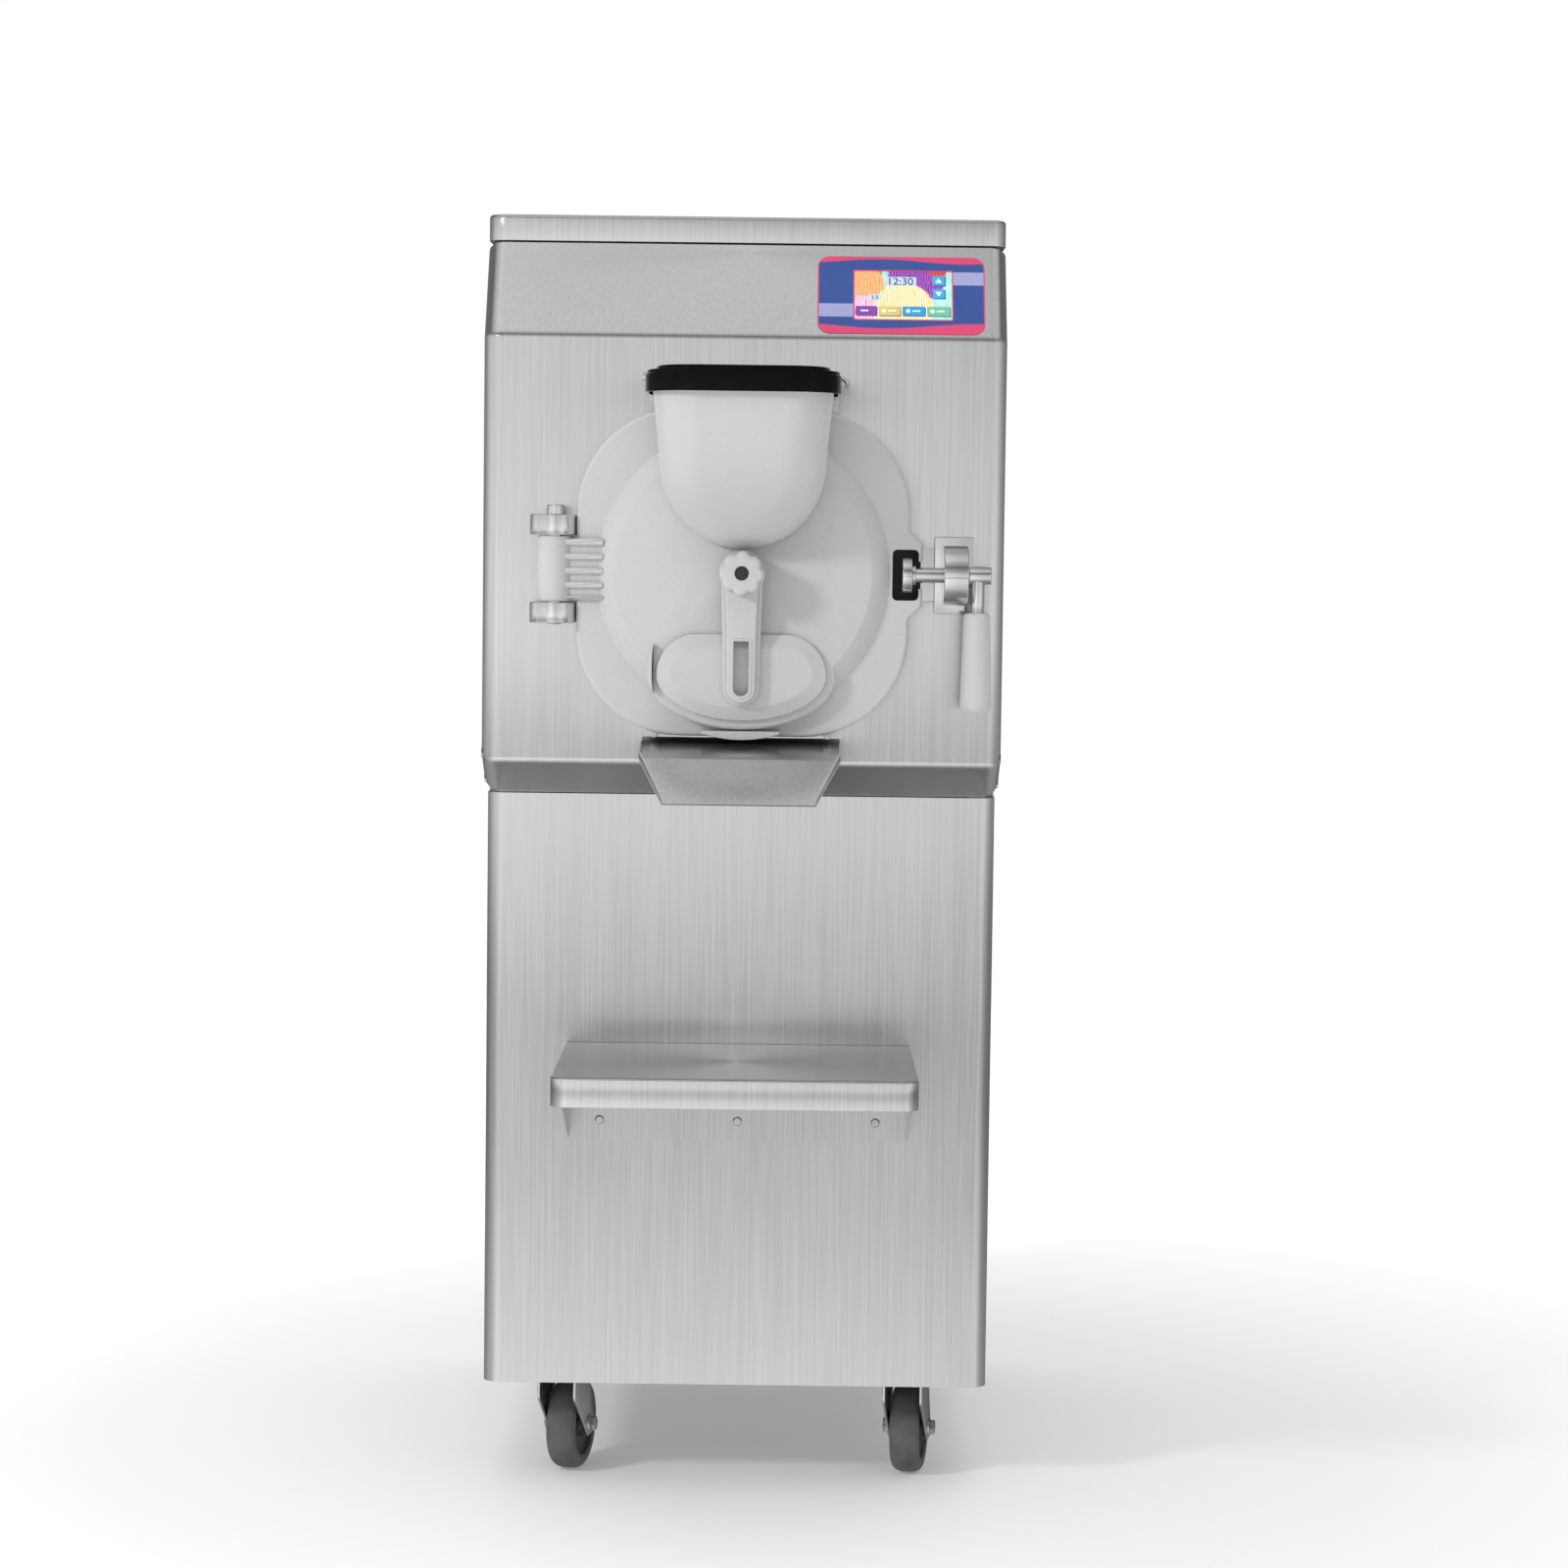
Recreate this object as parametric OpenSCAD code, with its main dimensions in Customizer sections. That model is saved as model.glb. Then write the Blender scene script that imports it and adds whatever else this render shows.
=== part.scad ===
// Floor-standing batch freezer for ice cream. Millimetres, +Z up, front towards -Y.
// The origin is under the middle of the whole machine, on the floor.
// "Out" is a distance in front of the upper front panel; negative values are inside the cabinet.

/* [Cabinet] */
// Width over the upper front and the top cover
cabinet_w = 540; // [530:5:560]
// Width over the lower front and the side panels
body_w = 536; // [526:5:556]
// Depth from the upper front to the rear panel
cabinet_d = 680; // [670:10:720]
// Height to the top of the cover
cabinet_h = 1346; // [1340:1:1360]
// Height of the top cover's skirt
cover_h = 27; // [22:1:30]
// How far the sloped control face leans back
slope_run = 55; // [45:1:60]
// Height of the crease between the sloped and the upright front
crease_z = 1219; // [1210:1:1225]
// Height where the upright front turns inwards
bevel_z = 778; // [770:1:785]
// Height of the bottom edge of the upper front
split_z = 744; // [740:1:748]
// How far the bevel runs back
bevel_run = 48; // [40:1:52]
// Step from the upper front back to the lower front
step_back = 60; // [58:1:66]
// Height of the panels' bottom edge
skirt_z = 113; // [110:1:114]
// Thickness of the sheet steel
sheet = 1.5; // [1:0.5:2]
// Radius of the cabinet's upright front edges
edge_r = 18; // [12:1:24]

/* [Door] */
// Width of the door plate
door_w = 340; // [330:2:344]
// Height of the door plate
door_h = 334; // [324:2:338]
// Corner radius of the door plate
door_r = 107; // [90:1:115]
// Height of the door's and the cylinder's centre
axis_z = 976; // [972:1:980]
// Gap between the upper front and the door plate
door_gap = 15; // [13:1:17]
// Thickness of the door plate
door_t = 25; // [22:1:26]
// Radius at the foot of the raised disc on the door
disc_r = 150; // [144:1:154]
// How far the raised disc stands up from the door plate
disc_rise = 15; // [12:1:17]
// Width of the sloped band round the raised disc
disc_band = 19; // [15:1:22]
// Distance from the centre to the door's hinge pin
hinge_x = 192; // [190:1:196]
// Width of the ear's window, through which the latch cam grips
ear_window_w = 27; // [26:0.5:27.5]
// Height of the ear's window
ear_window_h = 52; // [48:1:56]

/* [Latch] */
// Distance from the centre to the latch post's inner face
post_x = 205; // [203:1:207]
// Thickness of the latch post
post_t = 25; // [22:1:25]
// Radius of the latch post's round front
post_r = 31.75; // [28:0.25:33]
// Radius of the latch shaft
latch_r = 7.8; // [7:0.1:9]
// Distance from the centre to the lever
lever_x = 240; // [239:1:242]

/* [Hopper] */
// Half width of the hopper at the rim
hopper_half = 92; // [86:1:94]
// Half width of the hopper where its bowl begins
bowl_half = 84; // [78:1:86]
// Height of the bottom of the hopper
hopper_z = 1001; // [1000:1:1004]
// Height where the hopper's bowl begins
bowl_z = 1090; // [1085:1:1095]
// Height of the hopper's rim
rim_z = 1165; // [1162:1:1168]
// How far out the hopper's rim reaches
hopper_out = 185; // [175:1:190]
// Thickness of the hopper's wall
hopper_wall = 4; // [3:0.5:5]

/* [Gate] */
// Width of the gate plate
gate_w = 173; // [160:1:175]
// Height of the top edge of the gate plate
gate_top = 914; // [908:1:918]
// Height of the bottom edge of the gate plate
gate_bottom = 826; // [824:1:832]
// Radius of the star knob
knob_r = 23; // [20:1:25]
// Number of lobes on the star knob
knob_lobes = 8; // [6:1:9]

/* [Freezing cylinder] */
// Inner radius of the freezing cylinder
bore_r = 125; // [120:1:125]
// Inner length of the freezing cylinder
bore_len = 330; // [320:5:335]
// Turns of the cooling coil
coil_turns = 17; // [12:1:17]
// Radius of the beater shaft
shaft_r = 20; // [18:1:20]
// Pitch radius of the beater's belt pulley
big_pulley_r = 103.5; // [100:0.5:106]
// Pitch radius of the motor's belt pulley
small_pulley_r = 33.5; // [32:0.5:36]
// Height of the drive motor's axis
motor_z = 640; // [636:1:646]

/* [Tray and chute] */
// Width of the tray shelf
tray_w = 364; // [350:2:370]
// How far out the tray shelf reaches
tray_out = 207; // [195:1:215]
// Height of the tray shelf's top
tray_z = 478.5; // [470:0.5:490]
// Height of the tray shelf's lip
tray_lip = 29; // [24:1:32]
// Width of the chute
chute_w = 204; // [198:1:206]
// Width of the chute's lip at its end
lip_w = 154; // [145:1:160]
// How far out the chute's lip reaches
chute_out = 145; // [140:1:150]

/* [Casters] */
// Radius of the caster wheels
wheel_r = 49; // [47:1:49]
// Width of the tyres
tread_w = 32; // [28:1:32]
// Distance from the swivel axis to the wheel axle
trail = 30; // [25:1:32]
// Distance from the centre to the swivel axes
caster_x = 185; // [180:1:190]
// Angle at which the front left caster stands
turn_front_left = -13; // [-30:1:30]
// Angle at which the front right caster stands
turn_front_right = -10; // [-30:1:30]
// Angle at which the rear left caster stands
turn_rear_left = 8; // [-30:1:30]
// Angle at which the rear right caster stands
turn_rear_right = -6; // [-30:1:30]

/* [Hidden] */
$fn = 64;

gland_reach = 20;
fit_gap = 0.05;
move_gap = 0.4;
front_y = tray_out - (cabinet_d + gland_reach + tray_out) / 2;
rear_y = front_y + cabinet_d;
half_w = cabinet_w / 2;
body_half = body_w / 2;
cover_z = cabinet_h - cover_h;
slope_top = cover_z - 2;
slope = slope_run / (slope_top - crease_z);
slope_angle = atan(slope);
bevel_slope = (bevel_z - split_z) / bevel_run;
cheek_depth = 100;
side_start = 91;
door_out = door_gap + door_t;
disc_out = door_out + disc_rise;
disc_top_r = disc_r - disc_band;
steel = "silver";
white = "whitesmoke";

// Outline of a rectangle with round corners, centred on the origin
function round_rect(w, h, r, n = 8) = [
    for (c = [0:3], i = [0:n])
        let (a = 90 * c + 90 * i / n,
             cx = (c == 0 || c == 3 ? 1 : -1) * (w / 2 - r),
             cy = (c < 2 ? 1 : -1) * (h / 2 - r))
        [cx + r * cos(a), cy + r * sin(a)]
];

// Carries an outline drawn in X and Z from one distance out to another
module slab(out0, out1) {
    translate([0, front_y - out0, 0]) rotate([90, 0, 0]) linear_extrude(out1 - out0) children();
}

// Carries an outline drawn in Y and Z from one X to another; Y counts back from the upper front
module side_slab(x0, x1) {
    translate([x0, front_y, 0]) rotate([90, 0, 90]) linear_extrude(x1 - x0) children();
}

// A round bar or cone along Y, at a place in X and Z
module rod_y(x, z, out0, out1, r, r_end = -1) {
    translate([x, front_y - out0, z]) rotate([90, 0, 0])
        cylinder(h = out1 - out0, r1 = r, r2 = r_end < 0 ? r : r_end);
}

// A round bar along X, at a distance out and a height
module rod_x(x0, x1, out, z, r) {
    translate([x0, front_y - out, z]) rotate([0, 90, 0]) cylinder(h = x1 - x0, r = r);
}

// A block given by its X span, its span behind the upper front and its Z span
module block(x0, x1, back0, back1, z0, z1) {
    translate([x0, front_y + back0, z0]) cube([x1 - x0, back1 - back0, z1 - z0]);
}

// Turns its children onto the sloped face: X across, Y up the slope, Z out of the face
module on_slope() {
    translate([0, front_y, crease_z]) rotate([90 - slope_angle, 0, 0]) children();
}

// ---------- cabinet ----------

tube = 25;
post_x0 = 241;
post_front = 93;
post_back = 643;
pan_z = 122;
pan_t = 3;
levels = [pan_z + pan_t, 521, 764, 1292];
motor_rails = [240, 355];

module frame_posts() {
    color("dimgray")
    for (s = [-1, 1], back = [post_front, post_back])
        block(s * (post_x0 + tube / 2) - tube / 2, s * (post_x0 + tube / 2) + tube / 2,
              back, back + tube, pan_z + pan_t, cabinet_h - sheet);
}

module frame_rails() {
    color("dimgray") {
        for (z = levels) {
            for (s = [-1, 1])
                block(s * (post_x0 + tube / 2) - tube / 2 + 1, s * (post_x0 + tube / 2) + tube / 2 - 1,
                      post_front + tube, post_back, z, z + tube);
            for (back = [post_front, post_back])
                block(-post_x0, post_x0, back, back + tube, z, z + tube);
        }
        for (back = motor_rails)
            block(-post_x0 - 1, post_x0 + 1, back, back + tube, levels[1], levels[1] + tube);
    }
}

module base_pan() {
    color(steel)
        block(-body_half + 2, body_half - 2, step_back + edge_r + 1, cabinet_d - 3, pan_z, pan_z + pan_t);
}

// Plan of a front with two returns: across X, back from its own face
module front_plan(half, inset, depth) {
    r = edge_r - inset;
    polygon(concat(
        [for (i = [0:8]) let (a = 180 + 90 * i / 8)
            [-half + edge_r + r * cos(a), edge_r + r * sin(a)]],
        [for (i = [0:8]) let (a = 270 + 90 * i / 8)
            [half - edge_r + r * cos(a), edge_r + r * sin(a)]],
        [[half - inset, depth], [-half + inset, depth]]));
}

lower_top = split_z - 2;

module lower_front_panel() {
    color(steel) translate([0, front_y + step_back, skirt_z]) linear_extrude(lower_top - skirt_z)
        difference() {
            front_plan(body_half, 0, side_start - step_back - 0.3);
            front_plan(body_half, sheet, side_start);
        }
}

bevel_end = bevel_run + 14;
slope_sheet = sheet / cos(slope_angle);
bevel_sheet = sheet / cos(atan(bevel_slope));
panel_hole_r = bore_r + 6;
screen_size = [102, 60];
screen_x = 162;
overlay_size = [173, 95];
overlay_x = 160;
overlay_y = 52;
screen_y = 52;

module upper_front_panel() {
    color(steel) difference() {
        intersection() {
            side_slab(-half_w, half_w) polygon([
                [slope_run, slope_top], [0, crease_z], [0, bevel_z], [bevel_run, split_z],
                [cheek_depth, split_z], [cheek_depth, slope_top]]);
            translate([0, front_y, split_z - 1]) linear_extrude(cabinet_h - split_z)
                front_plan(half_w, 0, cheek_depth + 1);
        }
        intersection() {
            side_slab(-half_w, half_w) polygon([
                [(cabinet_h - crease_z) * slope + slope_sheet, cabinet_h],
                [sheet, crease_z + (sheet - slope_sheet) / slope],
                [sheet, bevel_z + bevel_sheet - sheet * bevel_slope],
                [(bevel_z + bevel_sheet - split_z - sheet) / bevel_slope, split_z + sheet],
                [bevel_end, split_z + sheet], [bevel_end, split_z - 9],
                [cheek_depth + 9, split_z - 9], [cheek_depth + 9, cabinet_h]]);
            translate([0, front_y, split_z - 20]) linear_extrude(cabinet_h)
                front_plan(half_w, sheet, cheek_depth + 9);
        }
        rod_y(0, axis_z, -9, 9, panel_hole_r);
        on_slope() translate([screen_x, screen_y, 0])
            cube([screen_size[0], screen_size[1], 9], center = true);
    }
}

vent_rows = 12;
vent_pitch = 22;
vent_h = 7;

// A side panel; s is -1 for the left and 1 for the right
module side_panel(s) {
    color(steel) difference() {
        block(s > 0 ? body_half - sheet : -body_half, s > 0 ? body_half : -body_half + sheet,
              side_start, cabinet_d, skirt_z, slope_top);
        for (i = [0:vent_rows - 1])
            translate([s * body_half, front_y + 470, 190 + i * vent_pitch])
                cube([20, 150, vent_h], center = true);
    }
}
module left_side_panel() { side_panel(-1); }
module right_side_panel() { side_panel(1); }

gland_x = 190;
gland_z = 560;
gland_r = 5;
gland_body_r = 10;

module rear_panel() {
    color(steel) difference() {
        block(-body_half + sheet + 0.2, body_half - sheet - 0.2, cabinet_d - sheet, cabinet_d,
              skirt_z, slope_top);
        for (s = [-1, 1], i = [0:vent_rows - 1])
            translate([s * 85, rear_y, 190 + i * vent_pitch]) cube([140, 20, vent_h], center = true);
        translate([gland_x, rear_y, gland_z]) rotate([90, 0, 0])
            cylinder(h = 20, r = gland_body_r, center = true);
    }
}

module top_cover() {
    color(steel) difference() {
        translate([0, front_y + slope_run, cover_z]) linear_extrude(cover_h)
            front_plan(half_w, 0, cabinet_d - slope_run);
        translate([0, front_y + slope_run, cover_z - 1]) linear_extrude(cover_h + 1 - sheet)
            front_plan(half_w, sheet, cabinet_d - slope_run - sheet);
    }
}

// ---------- controls ----------

module control_overlay() {
    color("royalblue") on_slope() linear_extrude(0.8) difference() {
        translate([overlay_x, overlay_y]) polygon(round_rect(overlay_size[0], overlay_size[1], 12));
        translate([screen_x, screen_y]) square(screen_size, center = true);
    }
}

module touch_screen() {
    color("black") on_slope() translate([screen_x, screen_y, (1.1 - sheet) / 2])
        cube([screen_size[0] - 0.6, screen_size[1] - 0.6, sheet + 0.3], center = true);
}

module display_module() {
    color("dimgray") on_slope() translate([screen_x, screen_y, -sheet - 12])
        cube([screen_size[0] + 18, screen_size[1] + 18, 23], center = true);
}

module electrical_box() {
    color("gray") block(10, 230, 130, 330, 1160, 1285);
}

module cord_gland() {
    color("black") difference() {
        union() {
            translate([gland_x, rear_y + gland_reach, gland_z]) rotate([90, 0, 0])
                cylinder(h = gland_reach + 14, r = gland_body_r - 0.1);
            translate([gland_x, rear_y + 7, gland_z]) rotate([90, 0, 0]) cylinder(h = 7, r = 15);
            translate([gland_x, rear_y - sheet, gland_z]) rotate([90, 0, 0])
                cylinder(h = 6, r = 15, $fn = 6);
        }
        translate([gland_x, rear_y + gland_reach + 1, gland_z]) rotate([90, 0, 0])
            cylinder(h = gland_reach + 20, r = gland_r);
    }
}

// ---------- freezing cylinder and drive ----------

cyl_wall = 4;
cyl_r = bore_r + cyl_wall;
flange_r = 147;
flange_t = 8;
back_wall = 6;
cyl_end = bore_len + back_wall;
seal_r = 28;
coil_r = 6;
coil_ring_r = cyl_r + 0.5 + coil_r;

module freezing_cylinder() {
    color("silver") difference() {
        union() {
            rod_y(0, axis_z, -cyl_end, 0.5, cyl_r);
            rod_y(0, axis_z, 0, flange_t, flange_r);
        }
        rod_y(0, axis_z, -bore_len, flange_t + 1, bore_r);
        rod_y(0, axis_z, -cyl_end - 1, 0, seal_r);
    }
}

module ring_y(out, ring, bar) {
    translate([0, front_y - out, axis_z]) rotate([90, 0, 0]) rotate_extrude()
        translate([ring, 0]) circle(bar, $fn = 16);
}

module cooling_coil() {
    color("chocolate") for (i = [0:coil_turns - 1])
        ring_y(-20 - i * (bore_len - 40) / (coil_turns - 1), coil_ring_r, coil_r);
}

foam_half = 185;
foam_top = 1160;
foam_bottom = 789;
foam_hole = coil_ring_r + coil_r + 1;

module insulation() {
    color("lightyellow") difference() {
        block(-foam_half, foam_half, 4, cyl_end, foam_bottom, foam_top);
        rod_y(0, axis_z, -cyl_end - 1, -3, foam_hole);
    }
}

frame_front = 22;
spoke_t = 12;
bar_in = 100;
bar_out = 114;
blade_out = 123;
shaft_end = 456;

module beater_shaft() {
    color("silver") rod_y(0, axis_z, -shaft_end, -frame_front + 6, shaft_r);
}

// Turns its children to one of the beater's three arms; they are drawn along +X
module beater_arm(i) {
    translate([0, front_y, axis_z]) rotate([0, -120 * i - 30, 0]) children();
}

module beater_frame() {
    color("silver") difference() {
        for (i = [0:2]) beater_arm(i) {
            for (back = [frame_front, bore_len / 2, bore_len - 14 - spoke_t])
                translate([0, back, -8]) cube([bar_in + 2, spoke_t, 16]);
            translate([bar_in, frame_front, -8]) cube([bar_out - bar_in, bore_len - 14 - frame_front, 16]);
        }
        rod_y(0, axis_z, -bore_len, 0, shaft_r);
    }
}

module scraper_blades() {
    color(white) for (i = [0:2]) beater_arm(i)
        translate([bar_out, frame_front + 4, -6]) cube([blade_out - bar_out, bore_len - 44, 5]);
}

module shaft_seal() {
    color("black") difference() {
        rod_y(0, axis_z, -cyl_end, -bore_len, seal_r);
        rod_y(0, axis_z, -cyl_end - 1, 0, shaft_r + move_gap);
    }
}

housing_end = cyl_end + 76;
bearing_r = 36;
bearing_t = 15;
bearing_backs = [cyl_end + 16, housing_end - bearing_t];

module bearing_housing() {
    color("dimgray") difference() {
        union() {
            rod_y(0, axis_z, -cyl_end - 10, -cyl_end, 80);
            rod_y(0, axis_z, -housing_end, -cyl_end, 48);
        }
        rod_y(0, axis_z, -housing_end - 1, -cyl_end - 10, bearing_r);
        rod_y(0, axis_z, -housing_end - 1, -cyl_end + 1, seal_r);
    }
}

module shaft_bearings() {
    color("silver") difference() {
        for (back = bearing_backs) rod_y(0, axis_z, -back - bearing_t, -back, bearing_r);
        rod_y(0, axis_z, -housing_end - 1, 0, shaft_r + fit_gap);
    }
}

pulley_back = 418;
pulley_t = 36;
groove_w = 10;
groove_backs = [pulley_back + 5, pulley_back + 21];
belt_t = 9;
belt_w = 8;

// A belt pulley about Y: solid, with a groove for each belt
module pulley(z, pitch, hub) {
    difference() {
        rod_y(0, z, -pulley_back - pulley_t, -pulley_back, pitch + belt_t / 2 + 2);
        for (back = groove_backs) difference() {
            rod_y(0, z, -back - groove_w, -back, pitch + belt_t);
            rod_y(0, z, -back - groove_w, -back, pitch - belt_t / 2 - 1);
        }
        rod_y(0, z, -pulley_back - pulley_t - 1, -pulley_back + 1, hub);
    }
}

module driven_pulley() { color("dimgray") pulley(axis_z, big_pulley_r, shaft_r); }

// The outline that a belt makes round both pulleys, at a distance from its pitch line
module belt_loop(d) {
    hull() {
        translate([0, axis_z]) circle(big_pulley_r + d);
        translate([0, motor_z]) circle(small_pulley_r + d);
    }
}

module drive_belts() {
    color([0.1, 0.1, 0.1]) for (back = groove_backs)
        slab(-back - (groove_w + belt_w) / 2, -back - (groove_w - belt_w) / 2) difference() {
            belt_loop(belt_t / 2);
            belt_loop(-belt_t / 2);
        }
}

motor_r = 76;
motor_front = 205;
motor_back = 400;
motor_shaft_r = 12;
motor_bore_front = 360;
mount_top = 560;

module drive_motor() {
    color("steelblue") difference() {
        union() {
            rod_y(0, motor_z, -motor_back, -motor_front, motor_r);
            block(-70, 70, motor_front + 20, motor_back - 20, levels[1] + tube, mount_top);
            block(-50, 50, motor_front + 30, motor_back - 30, mount_top, motor_z - motor_r / 2);
        }
        rod_y(0, motor_z, -motor_back - 1, -motor_bore_front, motor_shaft_r + fit_gap);
    }
}

module motor_pulley() {
    color("dimgray") {
        pulley(motor_z, small_pulley_r, motor_shaft_r - 1);
        rod_y(0, motor_z, -pulley_back - pulley_t, -motor_bore_front - 1, motor_shaft_r);
    }
}

// ---------- refrigeration ----------

comp_x = -110;
comp_back = 270;
comp_r = 90;

module compressor() {
    color([0.12, 0.12, 0.13]) translate([comp_x, front_y + comp_back, pan_z + pan_t]) {
        for (a = [45:90:315]) rotate(a) translate([comp_r - 25, 0, 0]) cylinder(h = 14, r = 14);
        translate([0, 0, 14]) cylinder(h = 190, r = comp_r);
        translate([0, 0, 204]) cylinder(h = 40, r1 = comp_r, r2 = comp_r - 35);
    }
}

core_half = 160;
core_back = [600, 640];
core_z = [170, 480];

module condenser() {
    color("darkgray") for (s = [-1, 1])
        block(s * 150 - 10, s * 150 + 10, core_back[0] + 5, core_back[1] - 5, pan_z + pan_t, core_z[0]);
    color("darkgray") difference() {
        block(-core_half, core_half, core_back[0], core_back[1], core_z[0], core_z[1]);
        for (i = [0:19], back = [core_back[0] - 1, core_back[1] - 14])
            block(-core_half + 8 + i * 15.6, -core_half + 14 + i * 15.6, back, back + 15,
                  core_z[0] + 8, core_z[1] - 8);
    }
}

fan_z = (core_z[0] + core_z[1]) / 2;
fan_r = 138;
shroud_r = 145;
fan_backs = [568, 584];
motor_fan_r = 42;

module fan_shroud() {
    color("black") {
        difference() {
            block(-core_half, core_half, core_back[0] - 3, core_back[0], core_z[0], core_z[1]);
            rod_y(0, fan_z, -core_back[0] - 1, -core_back[0] + 9, shroud_r);
        }
        difference() {
            rod_y(0, fan_z, -core_back[0] + 3, -555, shroud_r + 4);
            rod_y(0, fan_z, -core_back[0] - 1, -550, shroud_r);
        }
        for (a = [0:120:240])
            translate([0, front_y + 555, fan_z]) rotate([0, a, 0])
                translate([motor_fan_r, 0, -6]) cube([shroud_r + 2 - motor_fan_r, 5, 12]);
    }
}

module fan_motor() {
    color("dimgray") difference() {
        rod_y(0, fan_z, -561, -480, motor_fan_r);
        rod_y(0, fan_z, -562, -530, 5 + fit_gap);
    }
}

module fan_blades() {
    color("gainsboro") {
        rod_y(0, fan_z, -fan_backs[1], -531, 5);
        rod_y(0, fan_z, -fan_backs[1], -fan_backs[0], 36);
        for (i = [0:4]) translate([0, front_y + (fan_backs[0] + fan_backs[1]) / 2, fan_z])
            rotate([0, 72 * i, 0]) rotate([14, 0, 0]) translate([30, -1.5, -30]) cube([fan_r - 38, 3, 60]);
    }
}

module pipe(points, r) {
    for (i = [0:len(points) - 2]) {
        v = points[i + 1] - points[i];
        translate(points[i]) rotate([0, acos(v[2] / norm(v)), atan2(v[1], v[0])])
            cylinder(h = norm(v), r = r, $fn = 24);
        if (i > 0) translate(points[i]) sphere(r * 1.25, $fn = 24);
    }
}

hot_line = [-190, 460, 440];
cold_x = -200;
cold_backs = [200, 440];
cold_z = [200, 700, 950];
pipe_back = 620;

// A hot line from the compressor to the condenser, and a cold one past its drier to the coil
module refrigerant_lines() {
    start = [comp_x + 20, comp_back + 20];
    color("chocolate") translate([0, front_y, 0]) {
        pipe([[start[0], start[1], pan_z + pan_t + 244], [start[0], start[1], hot_line[2]],
              [start[0], hot_line[1], hot_line[2]], hot_line,
              [hot_line[0], pipe_back, hot_line[2]], [-core_half, pipe_back, hot_line[2]]], 5);
        pipe([[-core_half, pipe_back, cold_z[0]], [cold_x, pipe_back, cold_z[0]],
              [cold_x, cold_backs[1], cold_z[0]], [cold_x, cold_backs[1], cold_z[1]],
              [cold_x, cold_backs[0], cold_z[1]], [cold_x, cold_backs[0], cold_z[2]],
              [-foam_half, cold_backs[0], cold_z[2]]], 4);
        translate([cold_x, cold_backs[1], cold_z[0] + 100]) cylinder(h = 120, r = 16);
    }
}

// ---------- door ----------

hinge_out = 34;
hinge_r = 7;
barrel_r = 18;
barrel_z = [945, 1011.7];
groove_pitch = 14.5;
port_size = [104, 40];
port_z = 872;
throat_size = [80, 50];
throat_z = 1050;
stud_r = 7;
stud_end = 98;

module door_outline(inset) {
    translate([0, axis_z]) {
        polygon(round_rect(door_w - 2 * inset, door_h - 2 * inset, door_r - inset));
        polygon([[150, -56], [168, -42], [184 - inset, -28 + inset], [184 - inset, 28 - inset],
                 [168, 42], [150, 56]]);
    }
}

module ear_cutout() {
    slab(0, door_out + 9) translate([153, axis_z - ear_window_h / 2]) square([ear_window_w, ear_window_h]);
    slab(0, door_out + 9) translate([176, axis_z - 14]) square([20, 28]);
}

module door() {
    color(white) difference() {
        union() {
            slab(door_gap, door_out) door_outline(0);
            rod_y(0, axis_z, door_out, disc_out, disc_r, disc_top_r);
            slab(door_out, disc_out) translate([0, 872]) polygon(round_rect(196, 104, 50));
            slab(door_gap + 10, disc_out) translate([0, 812]) polygon(round_rect(76, 9, 4));
            for (s = [-1, 1]) slab(door_gap + 4, door_gap + 20)
                translate([s * 89, 811]) polygon(round_rect(9, 9, 3));
            slab(disc_out - 1, disc_out + 8) intersection() {
                translate([-95, 852]) square([7, 52]);
                difference() {
                    translate([0, 872]) polygon(round_rect(190, 110, 52));
                    translate([0, 872]) polygon(round_rect(177, 104, 50));
                }
            }
            translate([-hinge_x, front_y - hinge_out, barrel_z[0]])
                cylinder(h = barrel_z[1] - barrel_z[0], r = barrel_r);
            slab(hinge_out - 14, hinge_out + 14)
                translate([-hinge_x, barrel_z[0] + 3]) square([48, barrel_z[1] - barrel_z[0] - 6]);
        }
        for (i = [0:3]) slab(hinge_out + 9, hinge_out + 15)
            translate([-185, axis_z - 26.2 + i * groove_pitch]) square([34.9, 9]);
        translate([-hinge_x, front_y - hinge_out, barrel_z[0] - 1])
            cylinder(h = barrel_z[1] - barrel_z[0] + 2, r = hinge_r + fit_gap);
        ear_cutout();
        slab(0, disc_out + 9) translate([0, port_z]) polygon(round_rect(port_size[0], port_size[1], 19));
        slab(0, disc_out + 9) translate([0, throat_z])
            polygon(round_rect(throat_size[0], throat_size[1], 20));
        rod_y(0, axis_z, door_out - 5, disc_out + 9, stud_r);
    }
}

module door_gasket() {
    color("black") difference() {
        slab(2.5, door_gap) difference() {
            door_outline(2);
            translate([0, axis_z]) polygon(round_rect(door_w - 40, door_h - 34, door_r - 18));
        }
        ear_cutout();
    }
}

// ---------- hopper ----------

hopper_back = disc_out + 2;

function hopper_front(inset) = [
    [hopper_back + inset, hopper_z + inset], [70 - inset / 2, hopper_z + inset],
    [100 - inset, 1016 + inset], [130 - inset, 1040 + inset], [156 - inset, 1075 + inset / 2],
    [174 - inset, 1120], [hopper_out - inset, rim_z + (inset > 0 ? 9 : 0)],
    [hopper_back + inset, rim_z + (inset > 0 ? 9 : 0)]
];

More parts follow.
